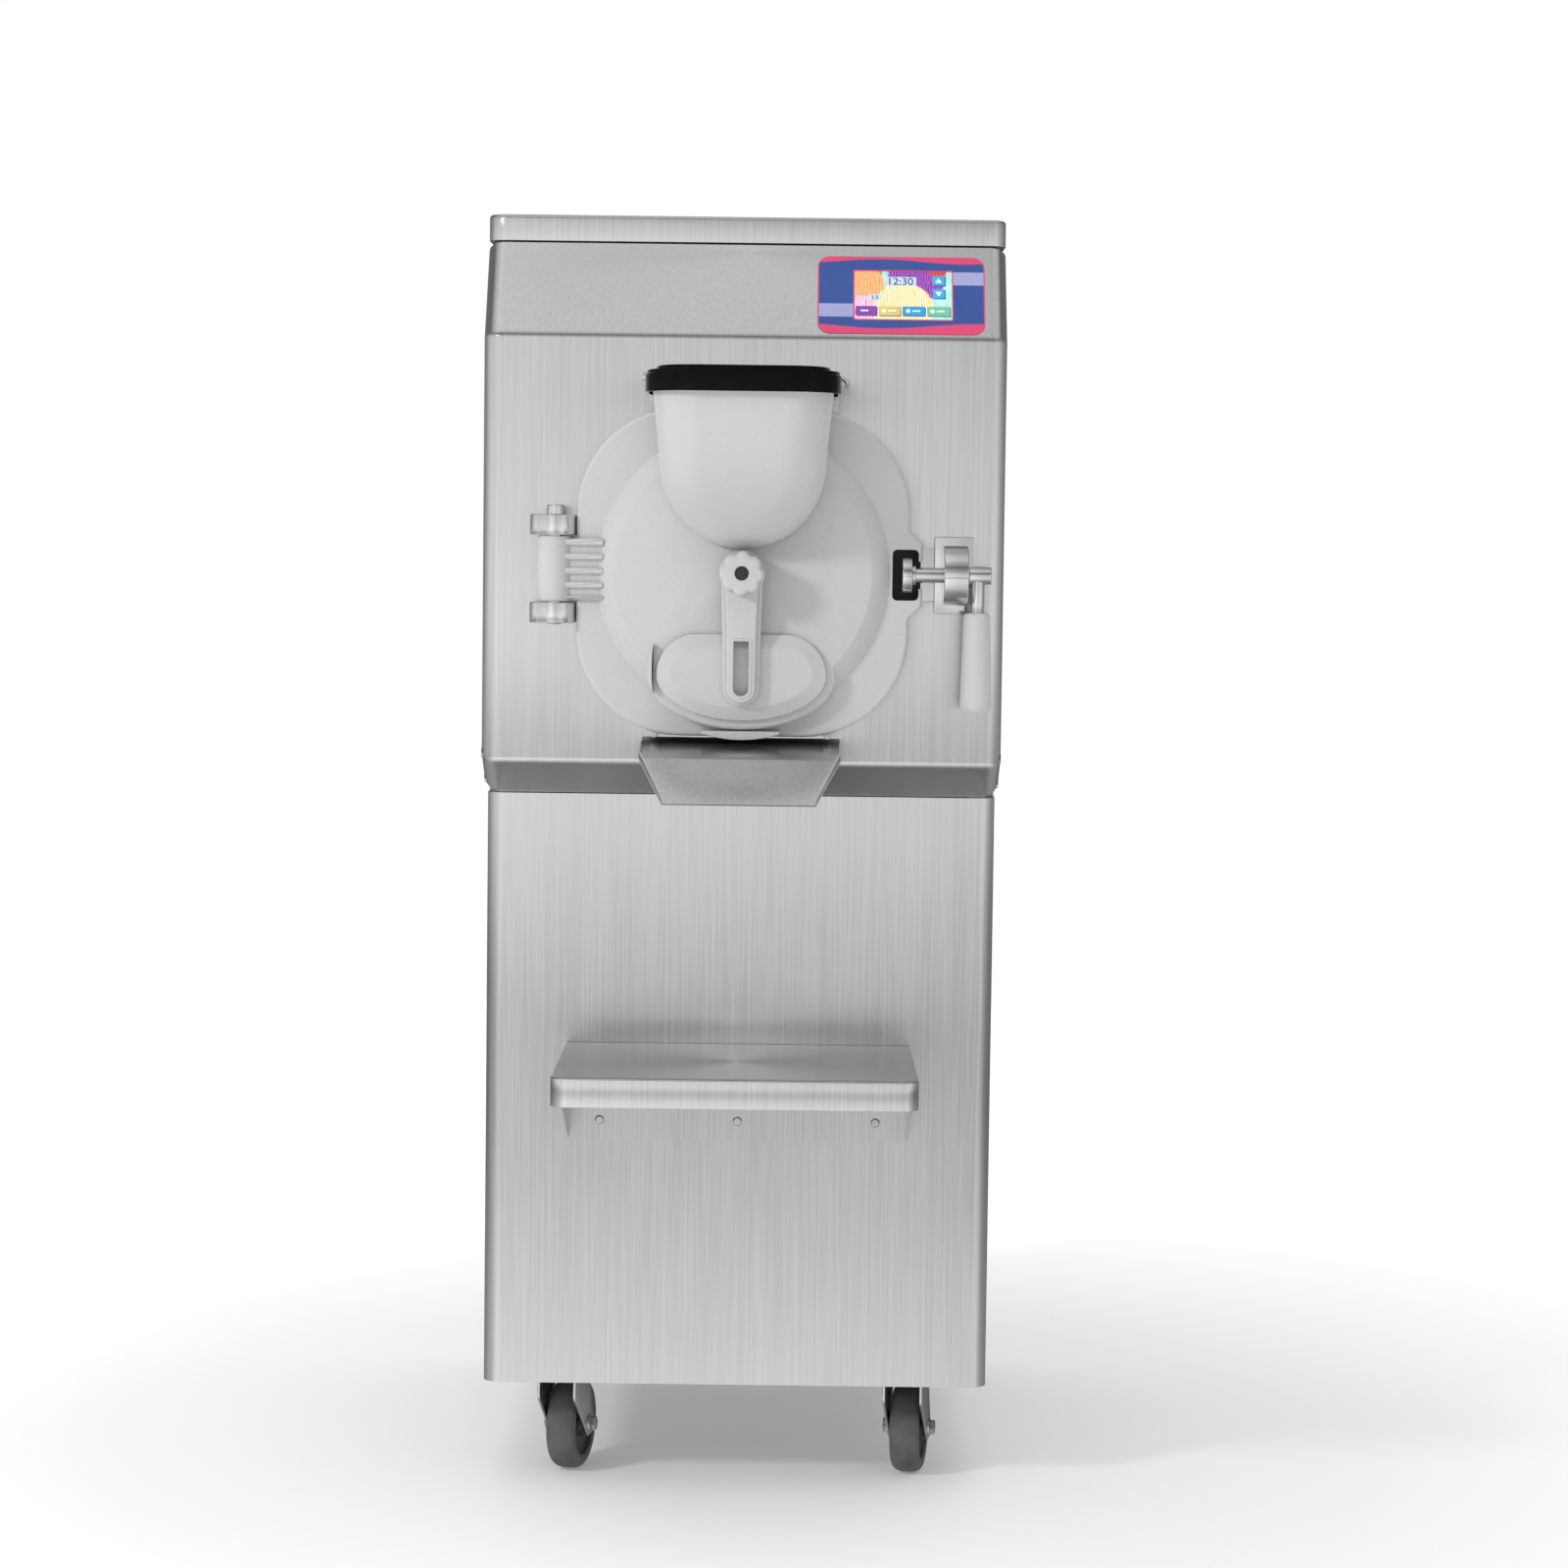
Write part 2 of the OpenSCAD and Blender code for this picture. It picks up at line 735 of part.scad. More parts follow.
module hopper_body(inset) {
    top = inset > 0 ? 9 : 0;
    intersection() {
        slab(hopper_back - 1, hopper_out + 1) polygon(concat(
            [for (i = [0:16]) let (a = 180 + 180 * i / 16)
                [(bowl_half - inset) * cos(a), bowl_z + (bowl_z - hopper_z - inset) * sin(a)]],
            [[hopper_half - inset, rim_z + top], [-hopper_half + inset, rim_z + top]]));
        side_slab(-half_w, half_w) polygon([for (p = hopper_front(inset)) [-p[0], p[1]]]);
        translate([0, front_y - hopper_out + inset, hopper_z - 9]) linear_extrude(260)
            polygon(concat(
                [for (i = [0:8]) let (a = 180 + 90 * i / 8)
                    [-hopper_half + inset + 45 + 45 * cos(a), 45 + 45 * sin(a)]],
                [for (i = [0:8]) let (a = 270 + 90 * i / 8)
                    [hopper_half - inset - 45 + 45 * cos(a), 45 + 45 * sin(a)]],
                [[hopper_half - inset, hopper_out - hopper_back - 2 * inset],
                 [-hopper_half + inset, hopper_out - hopper_back - 2 * inset]]));
    }
}

rod_out = 66;
rod_z = rim_z + 8;
rod_r = 3;
rim_back = 84;
lug_x = 91.5;
rod_span = [-99, 103];
knuckle_r = 7;

module hopper() {
    color(white) difference() {
        union() {
            hopper_body(0);
            slab(disc_out, hopper_back + 1) translate([0, throat_z])
                polygon(round_rect(throat_size[0] + 14, throat_size[1] + 14, 24));
            for (s = [-1, 1]) slab(hopper_back, rim_back - 2)
                translate([s * lug_x, rim_z - 3]) polygon(round_rect(7, 38, 3));
        }
        hopper_body(hopper_wall);
        block(-lug_x + 3.1, lug_x - 3.1, -rim_back, -hopper_back + 1, rim_z - 16, rim_z + 24);
        slab(disc_out - 1, hopper_back + 6) translate([0, throat_z])
            polygon(round_rect(throat_size[0], throat_size[1], 20));
        rod_x(-half_w, half_w, rod_out, rod_z, rod_r);
    }
}

module lid_rod() {
    color("silver") rod_x(rod_span[0], rod_span[1], rod_out, rod_z, rod_r);
}

lid_half = 97;
lid_front = 192;
lid_low = rim_z - 11;
lid_shoulder = rim_z + 9;
crown_half = 86;

module hopper_lid() {
    color([0.05, 0.05, 0.05]) difference() {
        union() {
            difference() {
                slab(rim_back, lid_front)
                    translate([-lid_half, lid_low]) square([2 * lid_half, lid_shoulder - lid_low]);
                slab(rim_back - 1, lid_front - 3) translate([-lid_half + 2.5, lid_low - 5])
                    square([2 * lid_half - 5, 19]);
            }
            slab(rod_out - 6, lid_front - 10) translate([-crown_half, lid_shoulder - 5])
                square([2 * crown_half, 11]);
            rod_x(-crown_half, crown_half, rod_out, rod_z, knuckle_r);
        }
        rod_x(-half_w, half_w, rod_out, rod_z, rod_r + fit_gap);
    }
}

// ---------- gate ----------

gate_back = disc_out + move_gap;
gate_front = gate_back + 11;
arm_front = gate_front + 13;
arm_bottom = 844;
arm_slot = [15, 54];
hub_arm_r = 23;

module gate_stud() {
    color("silver") rod_y(0, axis_z, door_out - 5, stud_end, stud_r);
}

module gate_plate() {
    color(white) slab(gate_back, gate_front) translate([0, (gate_top + gate_bottom) / 2])
        polygon(round_rect(gate_w, gate_top - gate_bottom, (gate_top - gate_bottom) / 2 - 2));
}

module gate_arm() {
    color(white) difference() {
        union() {
            slab(gate_front, arm_front) polygon([
                [-hub_arm_r, axis_z], [-21, 940], [-15.5, 915], [-15.5, 858], [-9, arm_bottom],
                [9, arm_bottom], [15.5, 858], [15.5, 915], [21, 940], [hub_arm_r, axis_z]]);
            rod_y(0, axis_z, gate_back, arm_front, hub_arm_r);
        }
        rod_y(0, axis_z, 0, stud_end, stud_r + fit_gap);
        slab(gate_front, arm_front + 1) translate([0, 880])
            polygon(round_rect(arm_slot[0], arm_slot[1], arm_slot[0] / 2 - 0.5));
    }
}

module star_knob() {
    color(white) difference() {
        union() {
            rod_y(0, axis_z, arm_front + 1, arm_front + 25, knob_r - 5);
            for (i = [0:knob_lobes - 1]) let (a = 360 * i / knob_lobes)
                rod_y((knob_r - 6) * cos(a), axis_z + (knob_r - 6) * sin(a),
                      arm_front + 3, arm_front + 23, 6);
        }
        rod_y(0, axis_z, 0, arm_front + 30, stud_r + fit_gap);
    }
}

// ---------- hinge and latch on the cabinet ----------

block_spans = [[923, 944], [1012.7, 1033.5]];
block_x = [-218, -171];

module hinge_blocks() {
    color("silver") difference() {
        for (z = block_spans) {
            block(block_x[0], block_x[1], -hinge_out, 0, z[0], z[1]);
            translate([-hinge_x, front_y - hinge_out, z[0]]) cylinder(h = z[1] - z[0], r = 21.4);
            translate([block_x[0] + 14, front_y - hinge_out - 2, z[0]]) cylinder(h = z[1] - z[0], r = 14);
        }
        translate([-hinge_x, front_y - hinge_out, block_spans[0][0] - 1])
            cylinder(h = 130, r = hinge_r);
    }
}

module hinge_pin() {
    color("silver") translate([-hinge_x, front_y - hinge_out, 0]) {
        translate([0, 0, block_spans[0][0] - 6])
            cylinder(h = block_spans[1][1] - block_spans[0][0] + 6, r = hinge_r);
        translate([0, 0, block_spans[1][1]]) cylinder(h = 10, r = 9.25);
    }
}

latch_out = 38;
cam_x = [163, 173];
cam_r = 18;
hub_x = [post_x + post_t + 1, 254];
hub_r = 9.15;
lever_r = 7.5;
grip_z = [836.5, 938];
grip_r = [16.25, 13.25];

module latch_post() {
    color("silver") difference() {
        union() {
            rod_x(post_x, post_x + post_t, latch_out, axis_z, post_r);
            block(post_x, post_x + post_t, -latch_out, 0, axis_z - post_r, axis_z + post_r);
            block(197, 238, -5, 0, axis_z - 42, axis_z + 42);
            block(150, 198, -2, 0, axis_z - 30, axis_z + 30);
        }
        rod_x(post_x - 1, post_x + post_t + 1, latch_out, axis_z, latch_r + fit_gap);
    }
}

module latch_shaft() {
    color("silver") difference() {
        union() {
            rod_x(cam_x[0], hub_x[0] + 1, latch_out, axis_z, latch_r);
            rod_x(cam_x[0], cam_x[1], latch_out, axis_z, cam_r);
            rod_x(hub_x[0], hub_x[1], latch_out, axis_z, hub_r);
        }
        translate([lever_x, front_y - latch_out, axis_z - 20]) cylinder(h = 20, r = lever_r);
    }
}

module latch_lever() {
    color("silver") translate([lever_x, front_y - latch_out, grip_z[1] - 13])
        cylinder(h = axis_z - grip_z[1] + 13, r = lever_r);
}

module latch_grip() {
    color(white) translate([lever_x, front_y - latch_out, 0]) difference() {
        union() {
            translate([0, 0, grip_z[0]]) cylinder(h = 4, r1 = grip_r[0] - 4, r2 = grip_r[0]);
            translate([0, 0, grip_z[0] + 4])
                cylinder(h = grip_z[1] - grip_z[0] - 7, r1 = grip_r[0], r2 = grip_r[1]);
            translate([0, 0, grip_z[1] - 3]) cylinder(h = 3, r1 = grip_r[1], r2 = grip_r[1] - 2.5);
        }
        translate([0, 0, grip_z[1] - 13]) cylinder(h = 20, r = lever_r);
    }
}

// ---------- chute and tray ----------

chute_z = [780, 804, 795, 745];
bend_out = 105;

module chute_front(inset) {
    polygon([[-chute_w / 2 + inset, chute_z[1] + 9], [chute_w / 2 - inset, chute_z[1] + 9],
             [chute_w / 2 - inset, chute_z[2]], [lip_w / 2 - inset, chute_z[3] - 9 * (inset > 0 ? 1 : 0)],
             [-lip_w / 2 + inset, chute_z[3] - 9 * (inset > 0 ? 1 : 0)], [-chute_w / 2 + inset, chute_z[2]]]);
}

module chute() {
    color(steel) {
        intersection() {
            side_slab(-chute_w / 2, chute_w / 2) polygon([
                [0, chute_z[0]], [0, chute_z[1]], [-bend_out, chute_z[2]], [-chute_out, chute_z[3]],
                [-chute_out + sheet * 1.3, chute_z[3]], [-bend_out + 0.8, chute_z[2] - sheet],
                [-sheet, chute_z[1] - sheet - 0.1], [-sheet, chute_z[0]]]);
            slab(-1, chute_out + 1) chute_front(0);
            block(-half_w, half_w, -200, 1, chute_z[3], 850);
        }
        intersection() {
            side_slab(-chute_w / 2, chute_w / 2) polygon([
                [-62, 800], [-62, 805], [-bend_out - 3, 805], [-chute_out - 5, 752],
                [-chute_out, chute_z[3]], [-bend_out, chute_z[2]]]);
            slab(50, chute_out + 6) difference() {
                chute_front(0);
                chute_front(sheet);
            }
        }
    }
}

tray_r = 17;
flange_z = 375.5;
screw_xs = [-146, 0, 146];
screw_z = 396;

module tray_plan(inset) {
    r = tray_r - inset;
    w = tray_w / 2;
    polygon(concat(
        [for (i = [0:6]) let (a = 180 + 15 * i) [-w + tray_r + r * cos(a), tray_r + r * sin(a)]],
        [for (i = [0:6]) let (a = 270 + 15 * i) [w - tray_r + r * cos(a), tray_r + r * sin(a)]],
        [[w - inset, tray_out + step_back + inset], [-w + inset, tray_out + step_back + inset]]));
}

module tray_shelf() {
    color(steel) {
        difference() {
            translate([0, front_y - tray_out, tray_z - tray_lip]) linear_extrude(tray_lip) tray_plan(0);
            translate([0, front_y - tray_out, tray_z - tray_lip - sheet]) linear_extrude(tray_lip)
                tray_plan(sheet);
        }
        difference() {
            block(-tray_w / 2 + 2, tray_w / 2 - 2, step_back - sheet, step_back, flange_z, tray_z - 1);
            for (x = screw_xs) rod_y(x, screw_z, -step_back - 1, -step_back + 9, 2.5);
        }
        for (s = [-1, 1]) translate([s * (tray_w / 2 - 2 - sheet / 2) - sheet / 2, 0, 0])
            side_slab(0, sheet) polygon([[step_back, flange_z], [step_back, tray_z - 1],
                                         [-tray_out + 90, tray_z - 1], [-tray_out + 90, tray_z - 22]]);
    }
}

// ---------- casters ----------

caster_backs = [120, 590];
caster_turn = [turn_front_left, turn_front_right, turn_rear_left, turn_rear_right];
plate_t = 4;
plate_half = 45;
bolt_at = 34;
plate_z = pan_z - plate_t;
king_r = 6;
fork_top = plate_z - 2.5;
leg_in = tread_w / 2 + 2.5;
leg_t = 3;
axle_r = 5;

// Turns its children to caster i's swivel axis
module at_caster(i) {
    translate([(i % 2 == 0 ? -1 : 1) * caster_x, front_y + caster_backs[i < 2 ? 0 : 1], 0]) children();
}

module caster_plates() {
    color("lightgray") for (i = [0:3]) at_caster(i) {
        difference() {
            translate([-plate_half, -plate_half, plate_z]) cube([2 * plate_half, 2 * plate_half, plate_t]);
            for (a = [-1, 1], b = [-1, 1]) translate([a * bolt_at, b * bolt_at, plate_z - 1])
                cylinder(h = plate_t + 2, r = 4);
        }
        translate([0, 0, plate_z - 2]) cylinder(h = 2, r = 26);
        translate([0, 0, plate_z - 13]) cylinder(h = 13, r = king_r);
    }
}

module fasteners() {
    color("silver") {
        for (i = [0:3]) at_caster(i) for (a = [-1, 1], b = [-1, 1])
            translate([a * bolt_at, b * bolt_at, 0]) {
                translate([0, 0, plate_z]) cylinder(h = plate_t, r = 4);
                translate([0, 0, plate_z - 5]) cylinder(h = 5, r = 6.5, $fn = 6);
            }
        for (x = screw_xs) {
            rod_y(x, screw_z, -step_back, -step_back + sheet, 2.5);
            rod_y(x, screw_z, -step_back + sheet, -step_back + sheet + 2.5, 5, 3.5);
        }
    }
}

module caster_fork(i) {
    color("lightgray") at_caster(i) rotate(caster_turn[i]) {
        difference() {
            union() {
                translate([0, 0, fork_top - 6]) cylinder(h = 6, r = 30);
                for (s = [-1, 1]) translate([s * (leg_in + leg_t / 2) - leg_t / 2, 0, 0])
                    rotate([90, 0, 90]) linear_extrude(leg_t) polygon([
                        [-21, fork_top - 1], [-24, fork_top - 24], [trail - 15, wheel_r - 4],
                        [trail - 8, wheel_r - 12], [trail + 8, wheel_r - 12], [trail + 14, wheel_r + 4],
                        [26, fork_top - 12], [21, fork_top - 1]]);
            }
            translate([0, 0, fork_top - 20]) cylinder(h = 40, r = king_r + fit_gap);
        }
        translate([0, trail, wheel_r]) rotate([0, 90, 0]) {
            cylinder(h = 2 * (leg_in + leg_t + 3), r = axle_r, center = true);
            for (s = [-1, 1]) translate([0, 0, s * (leg_in + leg_t + 3)])
                cylinder(h = 6, r = 9, $fn = 6, center = true);
        }
    }
}

module caster_wheel(i) {
    half = tread_w / 2;
    color("dimgray") at_caster(i) rotate(caster_turn[i]) translate([0, trail, wheel_r])
        rotate([0, 90, 0]) difference() {
            rotate_extrude() polygon([
                [0, -half - 1], [13, -half - 1], [15, -half + 5], [34, -half + 5], [36, -half],
                [wheel_r - 6, -half], [wheel_r - 1.5, -half + 5], [wheel_r, -half + 11],
                [wheel_r, half - 11], [wheel_r - 1.5, half - 5], [wheel_r - 6, half],
                [36, half], [34, half - 5], [15, half - 5], [13, half + 1], [0, half + 1]]);
            cylinder(h = 2 * tread_w, r = axle_r + fit_gap, center = true);
        }
}

frame_posts();
frame_rails();
base_pan();
lower_front_panel();
upper_front_panel();
left_side_panel();
right_side_panel();
rear_panel();
top_cover();
control_overlay();
touch_screen();
display_module();
electrical_box();
cord_gland();
freezing_cylinder();
cooling_coil();
insulation();
beater_shaft();
beater_frame();
scraper_blades();
shaft_seal();
bearing_housing();
shaft_bearings();
driven_pulley();
drive_belts();
drive_motor();
motor_pulley();
compressor();
condenser();
fan_shroud();
fan_motor();
fan_blades();
refrigerant_lines();
door();
door_gasket();
hopper();
lid_rod();
hopper_lid();
gate_stud();
gate_plate();
gate_arm();
star_knob();
hinge_blocks();
hinge_pin();
latch_post();
latch_shaft();
latch_lever();
latch_grip();
chute();
tray_shelf();
fasteners();
caster_plates();
caster_fork(0);  // caster_fork_front_left
caster_fork(1);  // caster_fork_front_right
caster_fork(2);  // caster_fork_rear_left
caster_fork(3);  // caster_fork_rear_right
caster_wheel(0);  // caster_wheel_front_left
caster_wheel(1);  // caster_wheel_front_right
caster_wheel(2);  // caster_wheel_rear_left
caster_wheel(3);  // caster_wheel_rear_right
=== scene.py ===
"""Looks of a floor-standing batch freezer: steel cabinet, white door and hopper, latch, tray and casters."""

import math

import bmesh
import bpy
import numpy as np
from mathutils import Matrix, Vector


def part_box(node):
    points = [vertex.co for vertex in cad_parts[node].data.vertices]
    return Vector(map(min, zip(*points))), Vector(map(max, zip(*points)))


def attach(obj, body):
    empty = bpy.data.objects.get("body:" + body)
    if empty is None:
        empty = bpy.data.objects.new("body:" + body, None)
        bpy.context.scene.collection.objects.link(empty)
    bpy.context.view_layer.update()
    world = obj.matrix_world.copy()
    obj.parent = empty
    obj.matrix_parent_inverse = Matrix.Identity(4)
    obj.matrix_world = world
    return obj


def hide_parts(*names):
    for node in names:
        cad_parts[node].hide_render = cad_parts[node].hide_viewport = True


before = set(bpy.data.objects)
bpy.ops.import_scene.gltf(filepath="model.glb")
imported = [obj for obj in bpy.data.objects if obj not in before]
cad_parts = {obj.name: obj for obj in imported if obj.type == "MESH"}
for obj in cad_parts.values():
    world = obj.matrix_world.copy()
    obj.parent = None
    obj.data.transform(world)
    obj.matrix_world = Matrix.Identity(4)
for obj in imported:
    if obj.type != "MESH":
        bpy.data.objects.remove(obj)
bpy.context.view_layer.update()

MM = 0.001
PI = math.pi

# ---------- places, from the frame ----------

panel_low, panel_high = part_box("upper_front_panel")
cover_low, cover_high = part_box("top_cover")
lower_low, lower_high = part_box("lower_front_panel")
FRONT = panel_low.y
HALF_W = panel_high.x
BODY_HALF = lower_high.x
COVER_Z = cover_low.z
SPLIT_Z = panel_low.z
SLOPE_TOP = panel_high.z
AXIS_Z = (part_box("star_knob")[0].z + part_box("star_knob")[1].z) / 2
CREASE_Z = 1219 * MM
BEVEL_Z = 778 * MM
BEVEL_RUN = 48 * MM
SLOPE_RUN = cover_low.y - FRONT
STEP_BACK = lower_low.y - FRONT
SHEET = 1.5 * MM
EDGE_R = 18 * MM
DOOR_BACK, DOOR_OUT, DISC_OUT = 15 * MM, 40 * MM, 55 * MM
HINGE_X, HINGE_OUT = -192 * MM, 34 * MM
LATCH_OUT, LATCH_Z, LEVER_X = 38 * MM, 976 * MM, 240 * MM
ROD_OUT, ROD_Z = 66 * MM, 1173 * MM
RIM_Z, BOWL_Z, BOWL_DEEP = 1165, 1090, 89
AXLE_BACK, AXLE_Z = 30 * MM, 49 * MM

# ---------- camera ----------

camera_data = bpy.data.cameras.new("camera")
camera_data.sensor_width = 36
camera_data.lens = 81.4
camera = bpy.data.objects.new("camera", camera_data)
bpy.context.scene.collection.objects.link(camera)
bpy.context.scene.camera = camera
CAMERA_TILT, CAMERA_ROLL = 3.6, 0.72
camera.matrix_world = (
    Matrix.Translation((0.045, FRONT - 3.667, 0.989))
    @ Matrix.Rotation(math.radians(90 - CAMERA_TILT), 4, "X")
    @ Matrix.Rotation(math.radians(CAMERA_ROLL), 4, "Z"))

# ---------- ways to place a shape ----------


def facing(a, b, out):
    """Points from X, Z and the distance in front of the upper front."""
    return np.stack([a, FRONT - out, b], axis=-1)


def upright(a, b, height):
    """Points from X, Y and a height."""
    return np.stack([a, b, height], axis=-1)


def plan(a, out, height):
    """Points from X, the distance in front of the upper front, and a height."""
    return np.stack([a, FRONT - out, height], axis=-1)


def across(a, b, x):
    """Points from the distance in front of the upper front, Z and an X."""
    return np.stack([x, FRONT - a, b], axis=-1)


SLOPE_ANGLE = math.atan(SLOPE_RUN / (SLOPE_TOP - CREASE_Z))


def on_slope(a, b, out):
    """Points on the sloped face: X, the distance up the slope and the height off it."""
    s, c = math.sin(SLOPE_ANGLE), math.cos(SLOPE_ANGLE)
    return np.stack([a, FRONT + b * s - out * c, CREASE_Z + b * c + out * s], axis=-1)


# ---------- shapes as arrays ----------


def grid_faces(rows, cols, wrap_rows=False, wrap_cols=False):
    """Quads between neighbours of a grid of points, joined round where asked."""
    i = np.arange(rows if wrap_rows else rows - 1)[:, None]
    j = np.arange(cols if wrap_cols else cols - 1)[None, :]
    k, m = (i + 1) % rows, (j + 1) % cols
    corners = np.broadcast_arrays(i * cols + j, i * cols + m, k * cols + m, k * cols + j)
    return np.stack(corners, axis=-1).reshape(-1, 4).tolist()


def rounded(corners, steps=8):
    """Closed outline through corners (x, y, r): at each, an arc of radius r touches both sides. Its
    centre lies on the corner's halving line, r / sin(half angle) away."""
    c = np.array(corners, float)
    p, r = c[:, :2], c[:, 2:]
    u, v = np.roll(p, 1, axis=0) - p, np.roll(p, -1, axis=0) - p
    u /= np.linalg.norm(u, axis=1, keepdims=True)
    v /= np.linalg.norm(v, axis=1, keepdims=True)
    half = np.arccos(np.clip((u * v).sum(1, keepdims=True), -1, 1)) / 2
    middle = (u + v) / np.linalg.norm(u + v, axis=1, keepdims=True)
    centre = p + middle * r / np.sin(half)
    first = p + u * r / np.tan(half) - centre
    last = p + v * r / np.tan(half) - centre
    start = np.arctan2(first[:, 1], first[:, 0])
    turn = np.arctan2(last[:, 1], last[:, 0]) - start
    turn = (turn + PI) % (2 * PI) - PI
    angle = start[:, None] + turn[:, None] * np.linspace(0, 1, steps + 1)
    arcs = centre[:, None, :] + r[:, None, :] * np.stack([np.cos(angle), np.sin(angle)], axis=-1)
    return arcs.reshape(-1, 2)


def outline_mm(corners, steps=8):
    """Rounded outline with its corners and radii in millimetres."""
    return rounded(np.array(corners, float) * MM, steps)


def rectangle(x0, x1, y0, y1, r, steps=8):
    """Outline of a rectangle with round corners."""
    return rounded([(x1, y0, r), (x1, y1, r), (x0, y1, r), (x0, y0, r)], steps)


def circle(x, y, r, n=64):
    """Outline of a circle."""
    t = np.linspace(0, 2 * PI, n, endpoint=False)
    return np.stack([x + r * np.cos(t), y + r * np.sin(t)], axis=-1)


def inset(outline, d):
    """The outline moved inwards by d along the halved normals n0 and n1: (n0 + n1) / (1 + n0 . n1)."""
    t = np.roll(outline, -1, axis=0) - outline
    t /= np.maximum(np.linalg.norm(t, axis=1, keepdims=True), 1e-12)
    after = np.stack([-t[:, 1], t[:, 0]], axis=-1)
    before = np.roll(after, 1, axis=0)
    area = np.sum(outline[:, 0] * np.roll(outline[:, 1], -1) - outline[:, 1] * np.roll(outline[:, 0], -1))
    return outline + np.sign(area) * d * (before + after) / (1 + (before * after).sum(1, keepdims=True))


def edge(h0, h1, r0, r1, steps=5):
    """Side of a slab from height h0 to h1 as (inset, height) pairs, with quarter circles r0 and r1."""
    a = np.linspace(0, PI / 2, steps + 1)
    low = np.stack([r0 * (1 - np.sin(a)), h0 + r0 * (1 - np.cos(a))], axis=-1)
    high = np.stack([r1 * (1 - np.cos(a)), h1 - r1 * (1 - np.sin(a))], axis=-1)
    return np.concatenate([low, high])


def slab(outline, side, place):
    """Points and faces of a slab: the outline at each height, moved in by its inset, with closed ends."""
    rings = [place(*inset(outline, d).T, np.full(len(outline), h)) for d, h in side]
    n, last = len(outline), (len(rings) - 1) * len(outline)
    faces = grid_faces(len(rings), n, wrap_cols=True)
    return np.concatenate(rings), faces + [list(range(n)), list(range(last, last + n))]


def lathe(profile, a, b, place, n=64):
    """A profile of (radius, height) pairs turned round the line through a and b, closed at both ends."""
    t = np.linspace(0, 2 * PI, n, endpoint=False)
    r, h = np.array(profile, float).T
    grid = place(a + r[:, None] * np.cos(t), b + r[:, None] * np.sin(t),
                 np.broadcast_to(h[:, None], (len(r), n)))
    last = (len(r) - 1) * n
    faces = grid_faces(len(r), n, wrap_cols=True)
    return grid.reshape(-1, 3), faces + [list(range(n)), list(range(last, last + n))]


def bar(r, h0, h1, round_r=0.6 * MM, steps=4):
    """Profile of a round bar with rounded rims."""
    return [(r - d, h) for d, h in edge(h0, h1, round_r, round_r, steps)]


def tube(path, r, n=20):
    """A round bar along a path: circles in the plane across each tangent, turned from one fixed side."""
    path = np.array(path, float)
    t = np.gradient(path, axis=0)
    t /= np.linalg.norm(t, axis=1, keepdims=True)
    side = np.cross(t, [0.13, 0.31, 0.94])
    side /= np.linalg.norm(side, axis=1, keepdims=True)
    up = np.cross(t, side)
    a = np.linspace(0, 2 * PI, n, endpoint=False)[None, :, None]
    grid = path[:, None] + r * (np.cos(a) * side[:, None] + np.sin(a) * up[:, None])
    last = (len(path) - 1) * n
    faces = grid_faces(len(path), n, wrap_cols=True)
    return grid.reshape(-1, 3), faces + [list(range(n)), list(range(last, last + n))]


# ---------- from arrays to pieces ----------


def mesh_object(name, parts, sharp=38, closed=True):
    """One object from several (points, faces) parts, smooth but for edges sharper than an angle."""
    points, faces, start = [], [], 0
    for p, f in parts:
        points.append(p.reshape(-1, 3))
        faces += [[k + start for k in face] for face in f]
        start += len(points[-1])
    mesh = bpy.data.meshes.new(name)
    mesh.from_pydata(np.concatenate(points).tolist(), [], faces)
    bm = bmesh.new()
    bm.from_mesh(mesh)
    bmesh.ops.remove_doubles(bm, verts=bm.verts, dist=1e-6)
    bmesh.ops.dissolve_degenerate(bm, edges=bm.edges, dist=1e-7)
    if closed:
        bmesh.ops.recalc_face_normals(bm, faces=bm.faces)
    bm.to_mesh(mesh)
    bm.free()
    mesh.polygons.foreach_set("use_smooth", np.ones(len(mesh.polygons), bool))
    mesh.set_sharp_from_angle(angle=math.radians(sharp))
    made = bpy.data.objects.new(name, mesh)
    bpy.context.scene.collection.objects.link(made)
    return made


def settle(made, sharp=38):
    """Applies the object's modifiers to its mesh."""
    bpy.context.view_layer.update()
    mesh = bpy.data.meshes.new_from_object(made.evaluated_get(bpy.context.evaluated_depsgraph_get()))
    made.modifiers.clear()
    made.data = mesh
    mesh.set_sharp_from_angle(angle=math.radians(sharp))


def combine(made, operation, parts):
    """Changes an object by closed parts, and stops if much of the object is lost on the way."""
    tool = mesh_object("tool", parts)
    boolean = made.modifiers.new("combine", "BOOLEAN")
    boolean.object = tool
    boolean.operation = operation
    boolean.solver = "EXACT"
    before = len(made.data.vertices)
    settle(made)
    assert len(made.data.vertices) > 0.6 * before, made.name
    bpy.data.objects.remove(tool)


def cut(made, *parts):
    """Takes closed parts out of an object."""
    combine(made, "DIFFERENCE", parts)


def join(made, *parts):
    """Adds closed parts to an object as one solid, one after another."""
    for part in parts:
        combine(made, "UNION", [part])


def piece(made, material, body, slot, *stands_for):
    """Gives an object its material and its body, and hides the nodes it stands for. The slot is not used."""
    made.data.materials.clear()
    made.data.materials.append(material)
    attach(made, body)
    if stands_for:
        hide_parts(*stands_for)
    return made


# ---------- materials ----------


def link(material, start, end):
    """Joins two sockets of a material."""
    material.node_tree.links.new(start, end)


